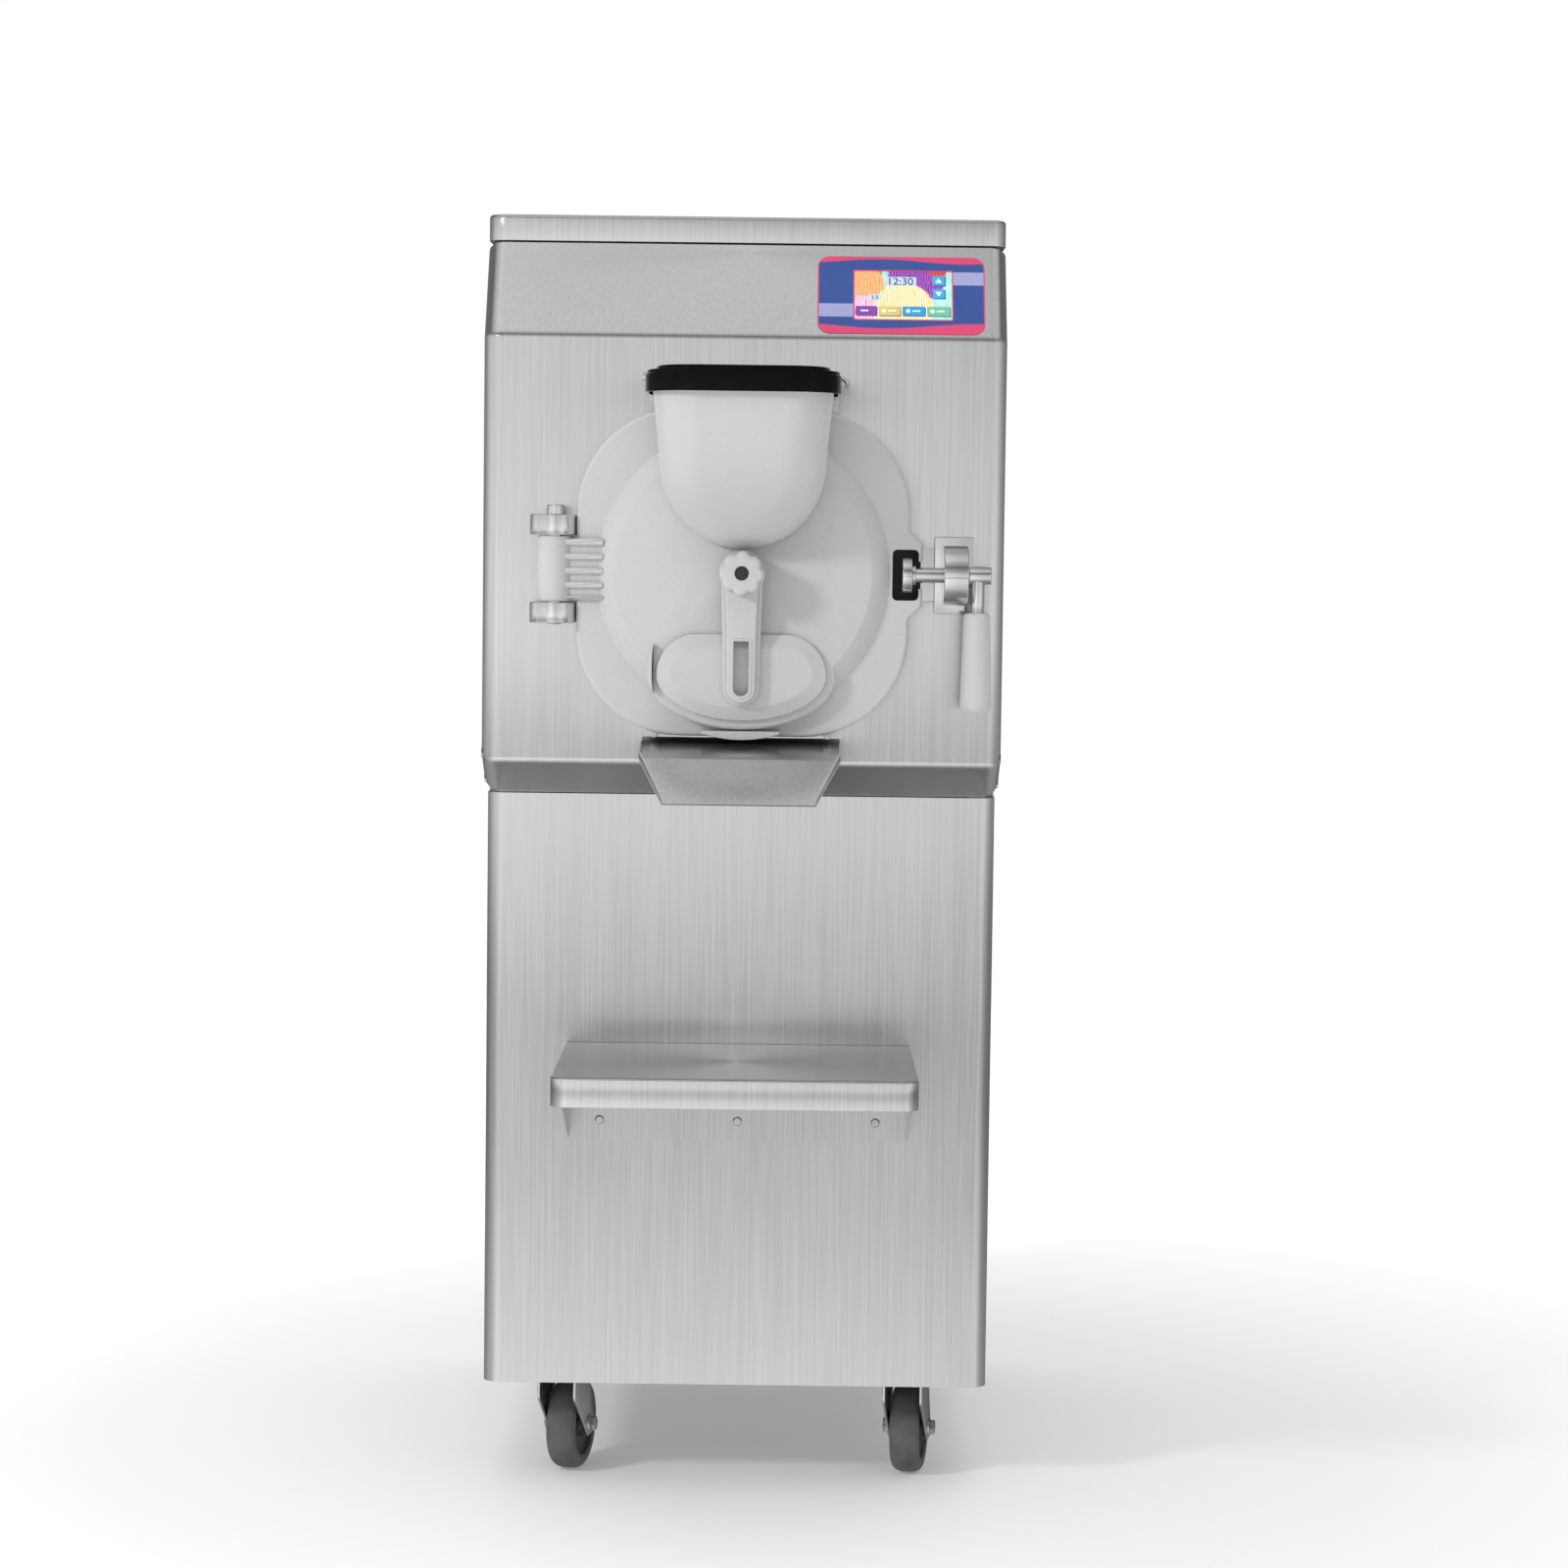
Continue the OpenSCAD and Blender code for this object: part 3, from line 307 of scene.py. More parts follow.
def noise(material, source, stretch, size, detail=3):
    """Noise over stretched coordinates; size is its scale."""
    mapping = material.node_tree.nodes.new("ShaderNodeMapping")
    mapping.inputs["Scale"].default_value = stretch
    link(material, source, mapping.inputs["Vector"])
    made = material.node_tree.nodes.new("ShaderNodeTexNoise")
    made.inputs["Scale"].default_value = size
    made.inputs["Detail"].default_value = detail
    link(material, mapping.outputs["Vector"], made.inputs["Vector"])
    return made.outputs["Fac"]


def spread(material, value, low, high, from_low=0.3, from_high=0.7):
    """Carries a value from one range to another, kept inside it."""
    made = material.node_tree.nodes.new("ShaderNodeMapRange")
    made.inputs["From Min"].default_value = from_low
    made.inputs["From Max"].default_value = from_high
    made.inputs["To Min"].default_value = low
    made.inputs["To Max"].default_value = high
    link(material, value, made.inputs["Value"])
    return made.outputs["Result"]


def arithmetic(material, kind, first, second=None, number=0.0):
    """One sum of a value with another value, or with a number."""
    made = material.node_tree.nodes.new("ShaderNodeMath")
    made.operation = kind
    made.inputs[1].default_value = number
    link(material, first, made.inputs[0])
    if second is not None:
        link(material, second, made.inputs[1])
    return made.outputs[0]


def blend(material, value, first, second):
    """Mixes two colours, each a socket or a colour, by a value."""
    made = material.node_tree.nodes.new("ShaderNodeMix")
    made.data_type = "RGBA"
    link(material, value, made.inputs[0])
    for socket, colour in ((made.inputs[6], first), (made.inputs[7], second)):
        if isinstance(colour, tuple):
            socket.default_value = (*colour, 1)
        else:
            link(material, colour, socket)
    return made.outputs[2]


def new_material(name):
    """An empty material, its main shader and the object's coordinates."""
    made = bpy.data.materials.new(name)
    made.use_nodes = True
    shader = made.node_tree.nodes["Principled BSDF"]
    coordinates = made.node_tree.nodes.new("ShaderNodeTexCoord").outputs["Object"]
    return made, shader, coordinates


def surface(name, dark, light, metal, rough, grain=(1, 1, 1), size=60, bump=0.05, patches=5, streaks=False):
    """Two close colours in soft patches, or in the grain's streaks. The fine grain is in the roughness and
    the height too."""
    made, shader, coordinates = new_material(name)
    patch = noise(made, coordinates, (1, 1, 1), patches, 2)
    fine = noise(made, coordinates, grain, size, 4)
    both = arithmetic(made, "ADD", arithmetic(made, "MULTIPLY", fine, number=0.7),
                      arithmetic(made, "MULTIPLY", patch, number=0.3))
    tint = spread(made, both if streaks else patch, 0, 1)
    link(made, blend(made, tint, dark, light), shader.inputs["Base Color"])
    link(made, spread(made, both, *rough), shader.inputs["Roughness"])
    shader.inputs["Metallic"].default_value = metal
    height = made.node_tree.nodes.new("ShaderNodeBump")
    height.inputs["Strength"].default_value = bump
    height.inputs["Distance"].default_value = 0.0004
    link(made, fine, height.inputs["Height"])
    link(made, height.outputs["Normal"], shader.inputs["Normal"])
    return made


UPRIGHT_GRAIN, LEVEL_GRAIN = (60, 60, 1), (1, 60, 60)
satin = surface("satin_steel", (0.53, 0.53, 0.535), (0.63, 0.63, 0.63), 1, (0.19, 0.24), UPRIGHT_GRAIN, 7,
                0.012, 3, True)
satin.node_tree.nodes["Principled BSDF"].inputs["Anisotropic"].default_value = 0.85
frame_steel = surface("frame_steel", (0.42, 0.43, 0.44), (0.52, 0.53, 0.54), 1, (0.34, 0.48), UPRIGHT_GRAIN,
                      14, 0.06)
polished = surface("polished_steel", (0.58, 0.58, 0.58), (0.66, 0.66, 0.65), 1, (0.08, 0.14), LEVEL_GRAIN, 9,
                   0.03, 20)
zinc = surface("zinc_steel", (0.50, 0.51, 0.52), (0.62, 0.63, 0.64), 1, (0.22, 0.36), (1, 1, 1), 90, 0.08,
               40)
white = surface("white_plastic", (0.52, 0.51, 0.525), (0.55, 0.54, 0.555), 0, (0.26, 0.31), (1, 1, 1), 240,
                0.008, 3)
lid_black = surface("lid_plastic", (0.0015, 0.0015, 0.0016), (0.003, 0.003, 0.003), 0, (0.05, 0.09),
                    size=120, bump=0.01)
lid_black.node_tree.nodes["Principled BSDF"].inputs["Specular IOR Level"].default_value = 0.08
black = surface("black_plastic", (0.008, 0.008, 0.009), (0.016, 0.016, 0.018), 0, (0.28, 0.40), size=260,
                bump=0.05)
dark = surface("dark_plastic", (0.03, 0.03, 0.032), (0.045, 0.045, 0.05), 0, (0.35, 0.5), size=300,
               bump=0.08)
rubber = surface("black_rubber", (0.012, 0.012, 0.013), (0.02, 0.02, 0.02), 0, (0.5, 0.65), size=300,
                 bump=0.08)
tyre = surface("grey_tyre", (0.075, 0.08, 0.085), (0.12, 0.125, 0.13), 0, (0.45, 0.62), size=160, bump=0.10,
               patches=35)
copper = surface("copper", (0.55, 0.24, 0.13), (0.68, 0.33, 0.19), 1, (0.22, 0.36), size=80, bump=0.04,
                 patches=18)
foam = surface("foam", (0.62, 0.50, 0.27), (0.72, 0.60, 0.36), 0, (0.8, 0.95), size=400, bump=0.4,
               patches=12)
motor_paint = surface("motor_paint", (0.05, 0.09, 0.16), (0.07, 0.12, 0.20), 0, (0.32, 0.45), size=200,
                      bump=0.1)
black_paint = surface("black_paint", (0.012, 0.012, 0.013), (0.022, 0.022, 0.024), 0, (0.25, 0.4), size=180,
                      bump=0.1)
fins = surface("fin_aluminium", (0.60, 0.61, 0.62), (0.72, 0.73, 0.74), 1, (0.30, 0.45), (700, 1, 1), 1, 0.5,
               12)
cast = surface("cast_grey", (0.20, 0.21, 0.22), (0.30, 0.31, 0.32), 0.8, (0.45, 0.62), size=260, bump=0.2)

milky = surface("hopper_plastic", (0.52, 0.505, 0.525), (0.56, 0.545, 0.565), 0, (0.24, 0.28), size=150,
                bump=0.004, patches=3)

# ---------- cabinet ----------


def folded_front(name, path, half, side_depth):
    """A front sheet: a side profile of (height, distance back, bend reach), from the bottom up, swept from
    side to side. Each bend is a quadratic curve that starts its reach before the corner. The sheet's edges
    turn back in a quarter circle of EDGE_R along the profile's inward normal, then run to side_depth. The
    sheet gets its thickness afterwards. Where that goes outwards at the sides, the points are moved back to
    half, so the two faces of the sheet can meet there."""
    p = np.array(path, float)
    before, after = p[1:-1, :2] - p[:-2, :2], p[2:, :2] - p[1:-1, :2]
    before /= np.linalg.norm(before, axis=1, keepdims=True)
    after /= np.linalg.norm(after, axis=1, keepdims=True)
    corner, reach = p[1:-1, None, :2], p[1:-1, None, 2:]
    t = np.linspace(0, 1, 7)[None, :, None]
    bends = ((1 - t) ** 2 * (corner - reach * before[:, None]) + 2 * t * (1 - t) * corner
             + t ** 2 * (corner + reach * after[:, None])).reshape(-1, 2)
    line = np.concatenate([p[:1, :2], bends, p[-1:, :2]])
    tangent = np.gradient(line, axis=0)
    tangent[0], tangent[-1] = line[1] - line[0], line[-1] - line[-2]
    tangent /= np.linalg.norm(tangent, axis=1, keepdims=True)
    inward = np.stack([-tangent[:, 1], tangent[:, 0]], axis=-1)
    turn, rows = np.linspace(0, PI / 2, 13), len(line)
    depth = EDGE_R * (1 - np.cos(turn))
    arc = np.stack([np.broadcast_to(half - EDGE_R + EDGE_R * np.sin(turn), (rows, 13)),
                    line[:, :1] + inward[:, :1] * depth, line[:, 1:] + inward[:, 1:] * depth], axis=-1)
    back_edge = arc[:, -1:].copy()
    back_edge[..., 2] = np.maximum(side_depth, back_edge[..., 2])
    right = np.concatenate([arc, back_edge], axis=1)
    flat_x = np.broadcast_to(np.linspace(-half + EDGE_R, half - EDGE_R, 9)[1:-1], (rows, 7))
    flat = np.stack([flat_x, np.broadcast_to(line[:, :1], (rows, 7)),
                     np.broadcast_to(line[:, 1:], (rows, 7))], axis=-1)
    grid = np.concatenate([right[:, ::-1] * [-1, 1, 1], flat, right], axis=1)
    points = facing(grid[..., 0], grid[..., 1], -grid[..., 2])
    made = mesh_object(name, [(points, grid_faces(*grid.shape[:2]))], 50, closed=False)
    thick = made.modifiers.new("sheet", "SOLIDIFY")
    thick.thickness = SHEET
    thick.offset = -1
    settle(made, 50)
    placed = np.zeros(len(made.data.vertices) * 3)
    made.data.vertices.foreach_get("co", placed)
    placed[0::3] = np.clip(placed[0::3], -half, half)
    made.data.vertices.foreach_set("co", placed)
    made.data.update()
    return made


# Upper front: a short web under the overhang, the bevel, the upright face, and the slope up to the cover.
upper_front = folded_front("upper_front", [
    (SPLIT_Z, 90 * MM, 0),
    (SPLIT_Z, BEVEL_RUN, 3 * MM),
    (BEVEL_Z, 0, 5 * MM),
    (CREASE_Z, 0, 4 * MM),
    (SLOPE_TOP, SLOPE_RUN, 0)], HALF_W, 100 * MM)
screen_low, screen_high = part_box("touch_screen")
SCREEN_X = (screen_low.x + screen_high.x) / 2
SCREEN_UP = 52 * MM
cut(upper_front,
    lathe([(131 * MM, -30 * MM), (131 * MM, 10 * MM)], 0, AXIS_Z, facing, 96),
    slab(rectangle(SCREEN_X - 51 * MM, SCREEN_X + 51 * MM, SCREEN_UP - 30 * MM, SCREEN_UP + 30 * MM, 1 * MM),
         [(0, -8 * MM), (0, 8 * MM)], on_slope))
piece(upper_front, satin, "root", "satin_steel", "upper_front_panel")

# Lower front: one sheet with its edges turned back.
lower_front = folded_front("lower_front", [
    (lower_low.z, STEP_BACK, 0),
    (lower_low.z + 0.3, STEP_BACK, 0.1),
    (lower_high.z, STEP_BACK, 0)], BODY_HALF, lower_high.y - FRONT)
piece(lower_front, satin, "root", "satin_steel", "lower_front_panel")

# Top cover: a shallow lid with round upright corners and a soft top edge.
cover = mesh_object("cover", [slab(
    rectangle(cover_low.x, cover_high.x, cover_low.y, cover_high.y, EDGE_R, 12),
    edge(COVER_Z, cover_high.z, 0.4 * MM, 3.5 * MM), upright)])
piece(cover, satin, "root", "satin_steel", "top_cover")

# ---------- door ----------


def outlet_outline(grow=0.0):
    """The outlet plate's outline: a flat top with round corners, and half an ellipse below."""
    upper, lower = np.linspace(0, PI / 2, 15), np.linspace(PI, 2 * PI, 41)
    right = np.stack([44.5 + 42 * np.cos(upper), 872 + 42 * np.sin(upper)], axis=-1)
    left = right[::-1] * [-1, 1]
    below = np.stack([86.5 * np.cos(lower), 872 + 46 * np.sin(lower)], axis=-1)[1:-1]
    return inset(np.concatenate([right, left, below]) * MM, -grow)


door_outline = outline_mm([
    (170, 809, 107), (170, 931, 5), (184, 944, 7), (184, 1008, 7), (170, 1021, 5), (170, 1143, 107),
    (-170, 1143, 107), (-170, 809, 107)], 14)
door = mesh_object("door_shell", [slab(door_outline, edge(DOOR_BACK, DOOR_OUT, 1 * MM, 4 * MM, 6), facing)])
lens_x = np.linspace(-40, 40, 25)
lens = np.concatenate([np.stack([lens_x, 812 - 6 * (1 - (lens_x / 40) ** 2)], axis=-1),
                       [[40, 815], [-40, 815]]]) * MM
join(door,
     lathe([(150 * MM, 36 * MM), (150 * MM, 40.5 * MM), (149 * MM, 41.6 * MM), (132.6 * MM, 54.2 * MM),
            (130.6 * MM, DISC_OUT)], 0, AXIS_Z, facing, 144),
     slab(outlet_outline(9.5 * MM), edge(34 * MM, DISC_OUT + 0.2 * MM, 0.5 * MM, 4 * MM, 6), facing))
for x0, x1, z0, z1, r in ((-52, 52, 852, 892, 19), (-40, 40, 1025, 1075, 8), (153, 180, 950, 1002, 5),
                          (176, 199, 962, 990, 1.5)):
    cut(door, slab(rectangle(x0 * MM, x1 * MM, z0 * MM, z1 * MM, r * MM), [(0, 0), (0, 70 * MM)], facing))
piece(door, white, "door", "white_plastic", "door")

# The lug that carries the hinge barrel, with four grooves across it: ribs stand on a lower plate.
lug_parts = [slab(rectangle(-205 * MM, -142 * MM, 948 * MM, 1008.7 * MM, 2 * MM),
                  edge(20 * MM, 43.5 * MM, 0.5 * MM, 0.5 * MM), facing),
             slab(rectangle(-205 * MM, -186 * MM, 948 * MM, 1008.7 * MM, 2 * MM),
                  edge(40 * MM, 48 * MM, 0.5 * MM, 2 * MM), facing)]
for z0, z1 in ((948, 950.6), (958.8, 965), (973.2, 979.5), (987.7, 994), (1002.2, 1008.7)):
    lug_parts.append(slab(rectangle(-190 * MM, -142 * MM, z0 * MM, z1 * MM, 0.6 * MM, 3),
                          [(-1.2 * MM, 42.6 * MM), (-0.3 * MM, 44 * MM), (0, 46.4 * MM),
                           (0.25 * MM, 47.4 * MM), (0.9 * MM, 48 * MM)], facing))
lug = mesh_object("door_lug", lug_parts)
piece(lug, white, "door", "white_plastic")

# A crescent beside the outlet, the hinge barrel, a thin lip and two pegs at the door's lower edge.
t = np.linspace(-1, 1, 25)
crescent = np.concatenate([
    np.stack([-95.5 + 6 * t ** 2, 878 + 25 * t], axis=-1),
    np.stack([-90 + 1.2 * t ** 2, 878 + 25 * t], axis=-1)[::-1][1:-1]]) * MM
trim = mesh_object("door_trim", [
    slab(crescent, edge(50 * MM, 63 * MM, 0.3 * MM, 1 * MM, 3), facing),
    lathe(bar(18 * MM, 945 * MM, 1011.7 * MM, 1.2 * MM), HINGE_X, HINGE_OUT, plan),
    slab(lens, edge(20 * MM, 55 * MM, 0.5 * MM, 1 * MM, 3), facing),
    *[lathe(bar(4.4 * MM, 19 * MM, 36 * MM, 0.8 * MM), x, 811 * MM, facing, 32)
      for x in (-89 * MM, 89 * MM)]])
piece(trim, white, "door", "white_plastic")

gasket = mesh_object("gasket", [slab(
    inset(door_outline, 1.2 * MM), edge(2.5 * MM, DOOR_BACK + 0.3 * MM, 1 * MM, 0.4 * MM), facing)])
cut(gasket, slab(rectangle(-150 * MM, 150 * MM, 826 * MM, 1126 * MM, 89 * MM, 14), [(0, 0), (0, 30 * MM)],
                 facing))
piece(gasket, rubber, "door", "black_rubber", "door_gasket")

# ---------- hopper and lid ----------

# The hopper is a stack of D-shaped rings: its front leans in towards the bottom, and its sides close in half
# an ellipse. Its wall goes inwards.
turn = np.linspace(0, 0.985 * PI / 2, 30)
ring_z = np.concatenate([np.linspace(RIM_Z, BOWL_Z + 2, 12), BOWL_Z - BOWL_DEEP * np.sin(turn)])
side_tuck = np.clip((BOWL_Z - ring_z) / BOWL_DEEP, 0, 1)
ring_half = np.where(ring_z > BOWL_Z, 84 + 8 * ((ring_z - BOWL_Z) / 86) ** 1.2,
                     84 * np.sqrt(1 - side_tuck ** 2.15))
ring_out = np.interp(ring_z, [1001, 1004, 1009, 1016, 1027, 1040, 1056, 1075, 1096, 1120, 1142, 1165],
                     [70, 80, 90, 100, 115, 130, 144, 156, 166, 174, 180, 185])
rings = []
for z, half, out in zip(ring_z, ring_half, ring_out):
    corner = min(45, 0.75 * half, 0.75 * (out - 57))
    ring = outline_mm([(-half, 57, 1), (half, 57, 1), (half, out, corner), (-half, out, corner)], 9)
    rings.append(plan(*ring.T, np.full(len(ring), z * MM)))
rows, cols = len(rings), len(rings[0])
bowl_faces = grid_faces(rows, cols, wrap_cols=True) + [list(range((rows - 1) * cols, rows * cols))]
hopper = mesh_object("hopper_bowl", [(np.concatenate(rings), bowl_faces)], 50)
wall = hopper.modifiers.new("wall", "SOLIDIFY")
wall.thickness = 3.5 * MM
wall.offset = -1
settle(hopper, 50)
cut(hopper, slab(rectangle(-40 * MM, 40 * MM, 1025 * MM, 1075 * MM, 8 * MM), [(0, 50 * MM), (0, 62 * MM)],
                 facing))
piece(hopper, milky, "door", "hopper_plastic", "hopper")

lug = outline_mm([(57, 1139, 2), (82, 1149, 4), (82, 1181, 9), (57, 1181, 4)])
lugs = mesh_object("hopper_lugs", [slab(lug, edge((x - 3.5) * MM, (x + 3.5) * MM, 1 * MM, 1 * MM), across)
                                   for x in (-91.5, 91.5)])
piece(lugs, milky, "door", "hopper_plastic")

# The rod has a cap on its left end, and its right end is bent forwards and down.
bend = np.linspace(0, 1, 14)
rod_path = np.concatenate([
    np.stack([np.linspace(-98, 98, 12), np.full(12, 66.0), np.full(12, 1173.0)], axis=-1),
    np.stack([98 + 6 * np.sin(bend * 2), 66 + 5 * bend, 1173 - 9 * bend ** 1.5], axis=-1)[1:]]) * MM
rod = mesh_object("lid_rod_bent", [
    tube(plan(rod_path[:, 0], rod_path[:, 1], rod_path[:, 2]), 2.4 * MM),
    lathe(bar(4.2 * MM, -103 * MM, -98 * MM, 1 * MM), ROD_OUT, ROD_Z, across, 32)])
piece(rod, polished, "door", "polished_steel", "lid_rod")

# The lid: a skirt over the hopper's rim, a lower shoulder at each end, and a raised middle.
skirt = outline_mm([(-97, 84, 3), (97, 84, 3), (97, 192, 48), (-97, 192, 48)], 16)
shoulder = outline_mm([(-95.5, 60, 6), (95.5, 60, 6), (95.5, 186, 46), (-95.5, 186, 46)], 16)
crown = outline_mm([(-86, 60, 5), (86, 60, 5), (86, 184, 42), (-86, 184, 42)], 16)
lid = mesh_object("lid_skirt", [slab(skirt, edge(1154 * MM, 1172 * MM, 0.6 * MM, 1.6 * MM), plan)])
cut(lid, slab(outline_mm([(-94, 87, 2), (94, 87, 2), (94, 189, 45), (-94, 189, 45)], 16),
              [(0, 1140 * MM), (0, 1169.5 * MM)], plan))
piece(lid, lid_black, "lid", "black_plastic", "hopper_lid")
lid_top = mesh_object("lid_top", [
    slab(shoulder, edge(1170 * MM, 1176 * MM, 0.5 * MM, 1.6 * MM), plan),
    slab(crown, edge(1171 * MM, 1180 * MM, 0.5 * MM, 2.5 * MM), plan),
    lathe(bar(7 * MM, -86 * MM, 86 * MM), ROD_OUT, ROD_Z, across, 40)])
piece(lid_top, lid_black, "lid", "black_plastic")

# ---------- outlet gate, arm and knob ----------

gate = mesh_object("gate_shell", [slab(
    outlet_outline(), [(0.6 * MM, 55.4 * MM), (0, 56 * MM), (0, 60 * MM), (0.5 * MM, 61 * MM),
                       (12 * MM, 65.4 * MM),
                       (13.5 * MM, 66.2 * MM), (15 * MM, 66.4 * MM)], facing)], 30)
piece(gate, white, "gate", "white_plastic", "gate_plate")


def arm_outline(half_top, half_low, top, low):
    """The arm's outline: sides that close a little, a round lower end, and a wide round top."""
    return outline_mm([(half_low, low, half_low - 0.3), (half_top, 912, 30), (half_top + 2, top - 8, 16),
                       (half_top - 2, top + 6, 14), (2 - half_top, top + 6, 14),
                       (-half_top - 2, top - 8, 16),
                       (-half_top, 912, 30), (-half_low, low, half_low - 0.3)], 10)


arm = mesh_object("gate_arm_shell", [
    slab(arm_outline(19.5, 18.5, 990, 841), edge(66.4 * MM, 73 * MM, 0.3 * MM, 2 * MM), facing)])
join(arm, slab(arm_outline(15, 14.6, 986, 844.5), edge(71 * MM, 79.4 * MM, 0.3 * MM, 2 * MM), facing),
     lathe(bar(23 * MM, 66.4 * MM, 79.4 * MM, 1.5 * MM), 0, AXIS_Z, facing))
slot_outline = outline_mm([(7.5, 852, 7.3), (7.5, 907, 1), (-7.5, 907, 1), (-7.5, 852, 7.3)], 10)
join(arm, slab(inset(slot_outline, -3.4 * MM), edge(76 * MM, 80.4 * MM, 0.3 * MM, 1.1 * MM), facing))
cut(arm, slab(slot_outline, [(0, 60 * MM), (0, 79 * MM), (-0.8 * MM, 80.2 * MM), (-1.4 * MM, 82 * MM)],
              facing))
cut(arm, lathe([(7.1 * MM, 60 * MM), (7.1 * MM, 90 * MM)], 0, AXIS_Z, facing, 48))
piece(arm, white, "gate", "white_plastic", "gate_arm")

lobe = np.linspace(0, 2 * PI, 192, endpoint=False)
lobe_r = (21.6 + 1.3 * np.cos(8 * lobe + 0.6) - 0.25 * np.cos(16 * lobe + 1.2)) * MM
knob = mesh_object("knob_shell", [slab(
    np.stack([lobe_r * np.cos(lobe), AXIS_Z + lobe_r * np.sin(lobe)], axis=-1),
    edge(80.4 * MM, 103.6 * MM, 1.2 * MM, 4.5 * MM, 7), facing)])
cut(knob, lathe([(7.05 * MM, 70 * MM), (7.05 * MM, 102.6 * MM), (7.9 * MM, 103.8 * MM), (9 * MM, 106 * MM)],
                0, AXIS_Z, facing, 64))
piece(knob, white, "knob", "white_plastic", "star_knob")
plug = mesh_object("knob_plug", [lathe(bar(6.95 * MM, 98.2 * MM, 101 * MM, 0.8 * MM), 0, AXIS_Z, facing,
                                       48)])
piece(plug, black, "knob", "black_plastic")

# ---------- hinge and latch ----------

# A hinge block's outline: an arc round the pin, a smaller arc beside it, and a flat foot on the cabinet.
about_pin, beside = np.radians(np.linspace(0, 112, 24)), np.radians(np.linspace(104, 180, 14))
block_outline = np.concatenate([
    np.stack([-192 + 21.4 * np.cos(about_pin), 34 + 21.4 * np.sin(about_pin)], axis=-1),
    np.stack([-204 + 14 * np.cos(beside), 36 + 14 * np.sin(beside)], axis=-1),
    [[-218, 0.8], [-217.2, 0], [-171.4, 0], [-170.6, 0.8]]]) * MM
for low, high, part in ((923, 944, "low"), (1012.7, 1033.5, "high")):
    block = mesh_object("hinge_block_" + part, [slab(block_outline,
                                                     edge(low * MM, high * MM, 1 * MM, 1 * MM), plan)])
    cut(block, lathe([(7.05 * MM, (low - 5) * MM), (7.05 * MM, (high + 5) * MM)], HINGE_X, HINGE_OUT, plan,
                     48))
    piece(block, polished, "root", "zinc_steel", "hinge_blocks")
pin = mesh_object("hinge_pin_turned", [lathe(
    [(6.2 * MM, 921.5 * MM), (7 * MM, 922.5 * MM), (7 * MM, 1033.6 * MM), (8.8 * MM, 1033.6 * MM),
     (9.25 * MM, 1034 * MM), (9.25 * MM, 1042 * MM), (8.2 * MM, 1043.2 * MM), (6 * MM, 1043.5 * MM)],
    HINGE_X, HINGE_OUT, plan, 64)])
piece(pin, polished, "root", "polished_steel", "hinge_pin")

post_turn = np.linspace(-PI / 2, PI / 2, 49)
post_outline = np.concatenate([
    np.stack([38 + 30.5 * np.cos(post_turn), 976 + 30.5 * np.sin(post_turn)], axis=-1),
    [[0, 1006.5], [0, 945.5]]]) * MM
post = mesh_object("latch_post_turned", [
    slab(post_outline, edge(205 * MM, 230 * MM, 1.4 * MM, 1.4 * MM), across),
    slab(rectangle(197 * MM, 238 * MM, 936 * MM, 1016 * MM, 3 * MM), edge(0, 5 * MM, 0.1 * MM, 1 * MM),
         facing),
    slab(rectangle(150 * MM, 198 * MM, 948 * MM, 1004 * MM, 3 * MM), edge(0, 2 * MM, 0.1 * MM, 0.5 * MM),
         facing)])
piece(post, polished, "root", "polished_steel", "latch_post")
shaft = mesh_object("latch_shaft_turned", [
    lathe(bar(7.7 * MM, 163 * MM, 232 * MM), LATCH_OUT, LATCH_Z, across),
    lathe(bar(18 * MM, 163 * MM, 173 * MM, 1 * MM), LATCH_OUT, LATCH_Z, across),
    lathe(bar(10.5 * MM, 173 * MM, 177 * MM, 0.8 * MM), LATCH_OUT, LATCH_Z, across),
    lathe(bar(9.1 * MM, 230.6 * MM, 254 * MM, 1.2 * MM), LATCH_OUT, LATCH_Z, across)])
piece(shaft, polished, "latch", "polished_steel", "latch_shaft")
lever = mesh_object("latch_lever_turned", [lathe(bar(7.4 * MM, 930 * MM, 975 * MM), LEVER_X, LATCH_OUT,
                                                 plan)])
piece(lever, polished, "latch", "polished_steel", "latch_lever")
grip = mesh_object("latch_grip_moulded", [lathe(
    [(11.5 * MM, 836.5 * MM), (12.8 * MM, 836.8 * MM), (13.5 * MM, 837.6 * MM), (15.7 * MM, 842.2 * MM),
     (16.1 * MM, 844 * MM), (16 * MM, 848 * MM), (13.6 * MM, 933 * MM), (13 * MM, 936 * MM),
     (11.6 * MM, 937.7 * MM), (10 * MM, 938 * MM)], LEVER_X, LATCH_OUT, plan)], 50)
piece(grip, white, "latch", "white_plastic", "latch_grip")

# ---------- chute and tray shelf ----------


def sheet_strip(rows_of_points, thickness, name):
    """A bent sheet through rows of points, thickened to one side."""
    grid = np.stack(rows_of_points)
    made = mesh_object(name, [(grid.reshape(-1, 3), grid_faces(*grid.shape[:2]))], 25, closed=False)
    thick = made.modifiers.new("sheet", "SOLIDIFY")
    thick.thickness = thickness
    thick.offset = 1
    settle(made, 25)
    return made


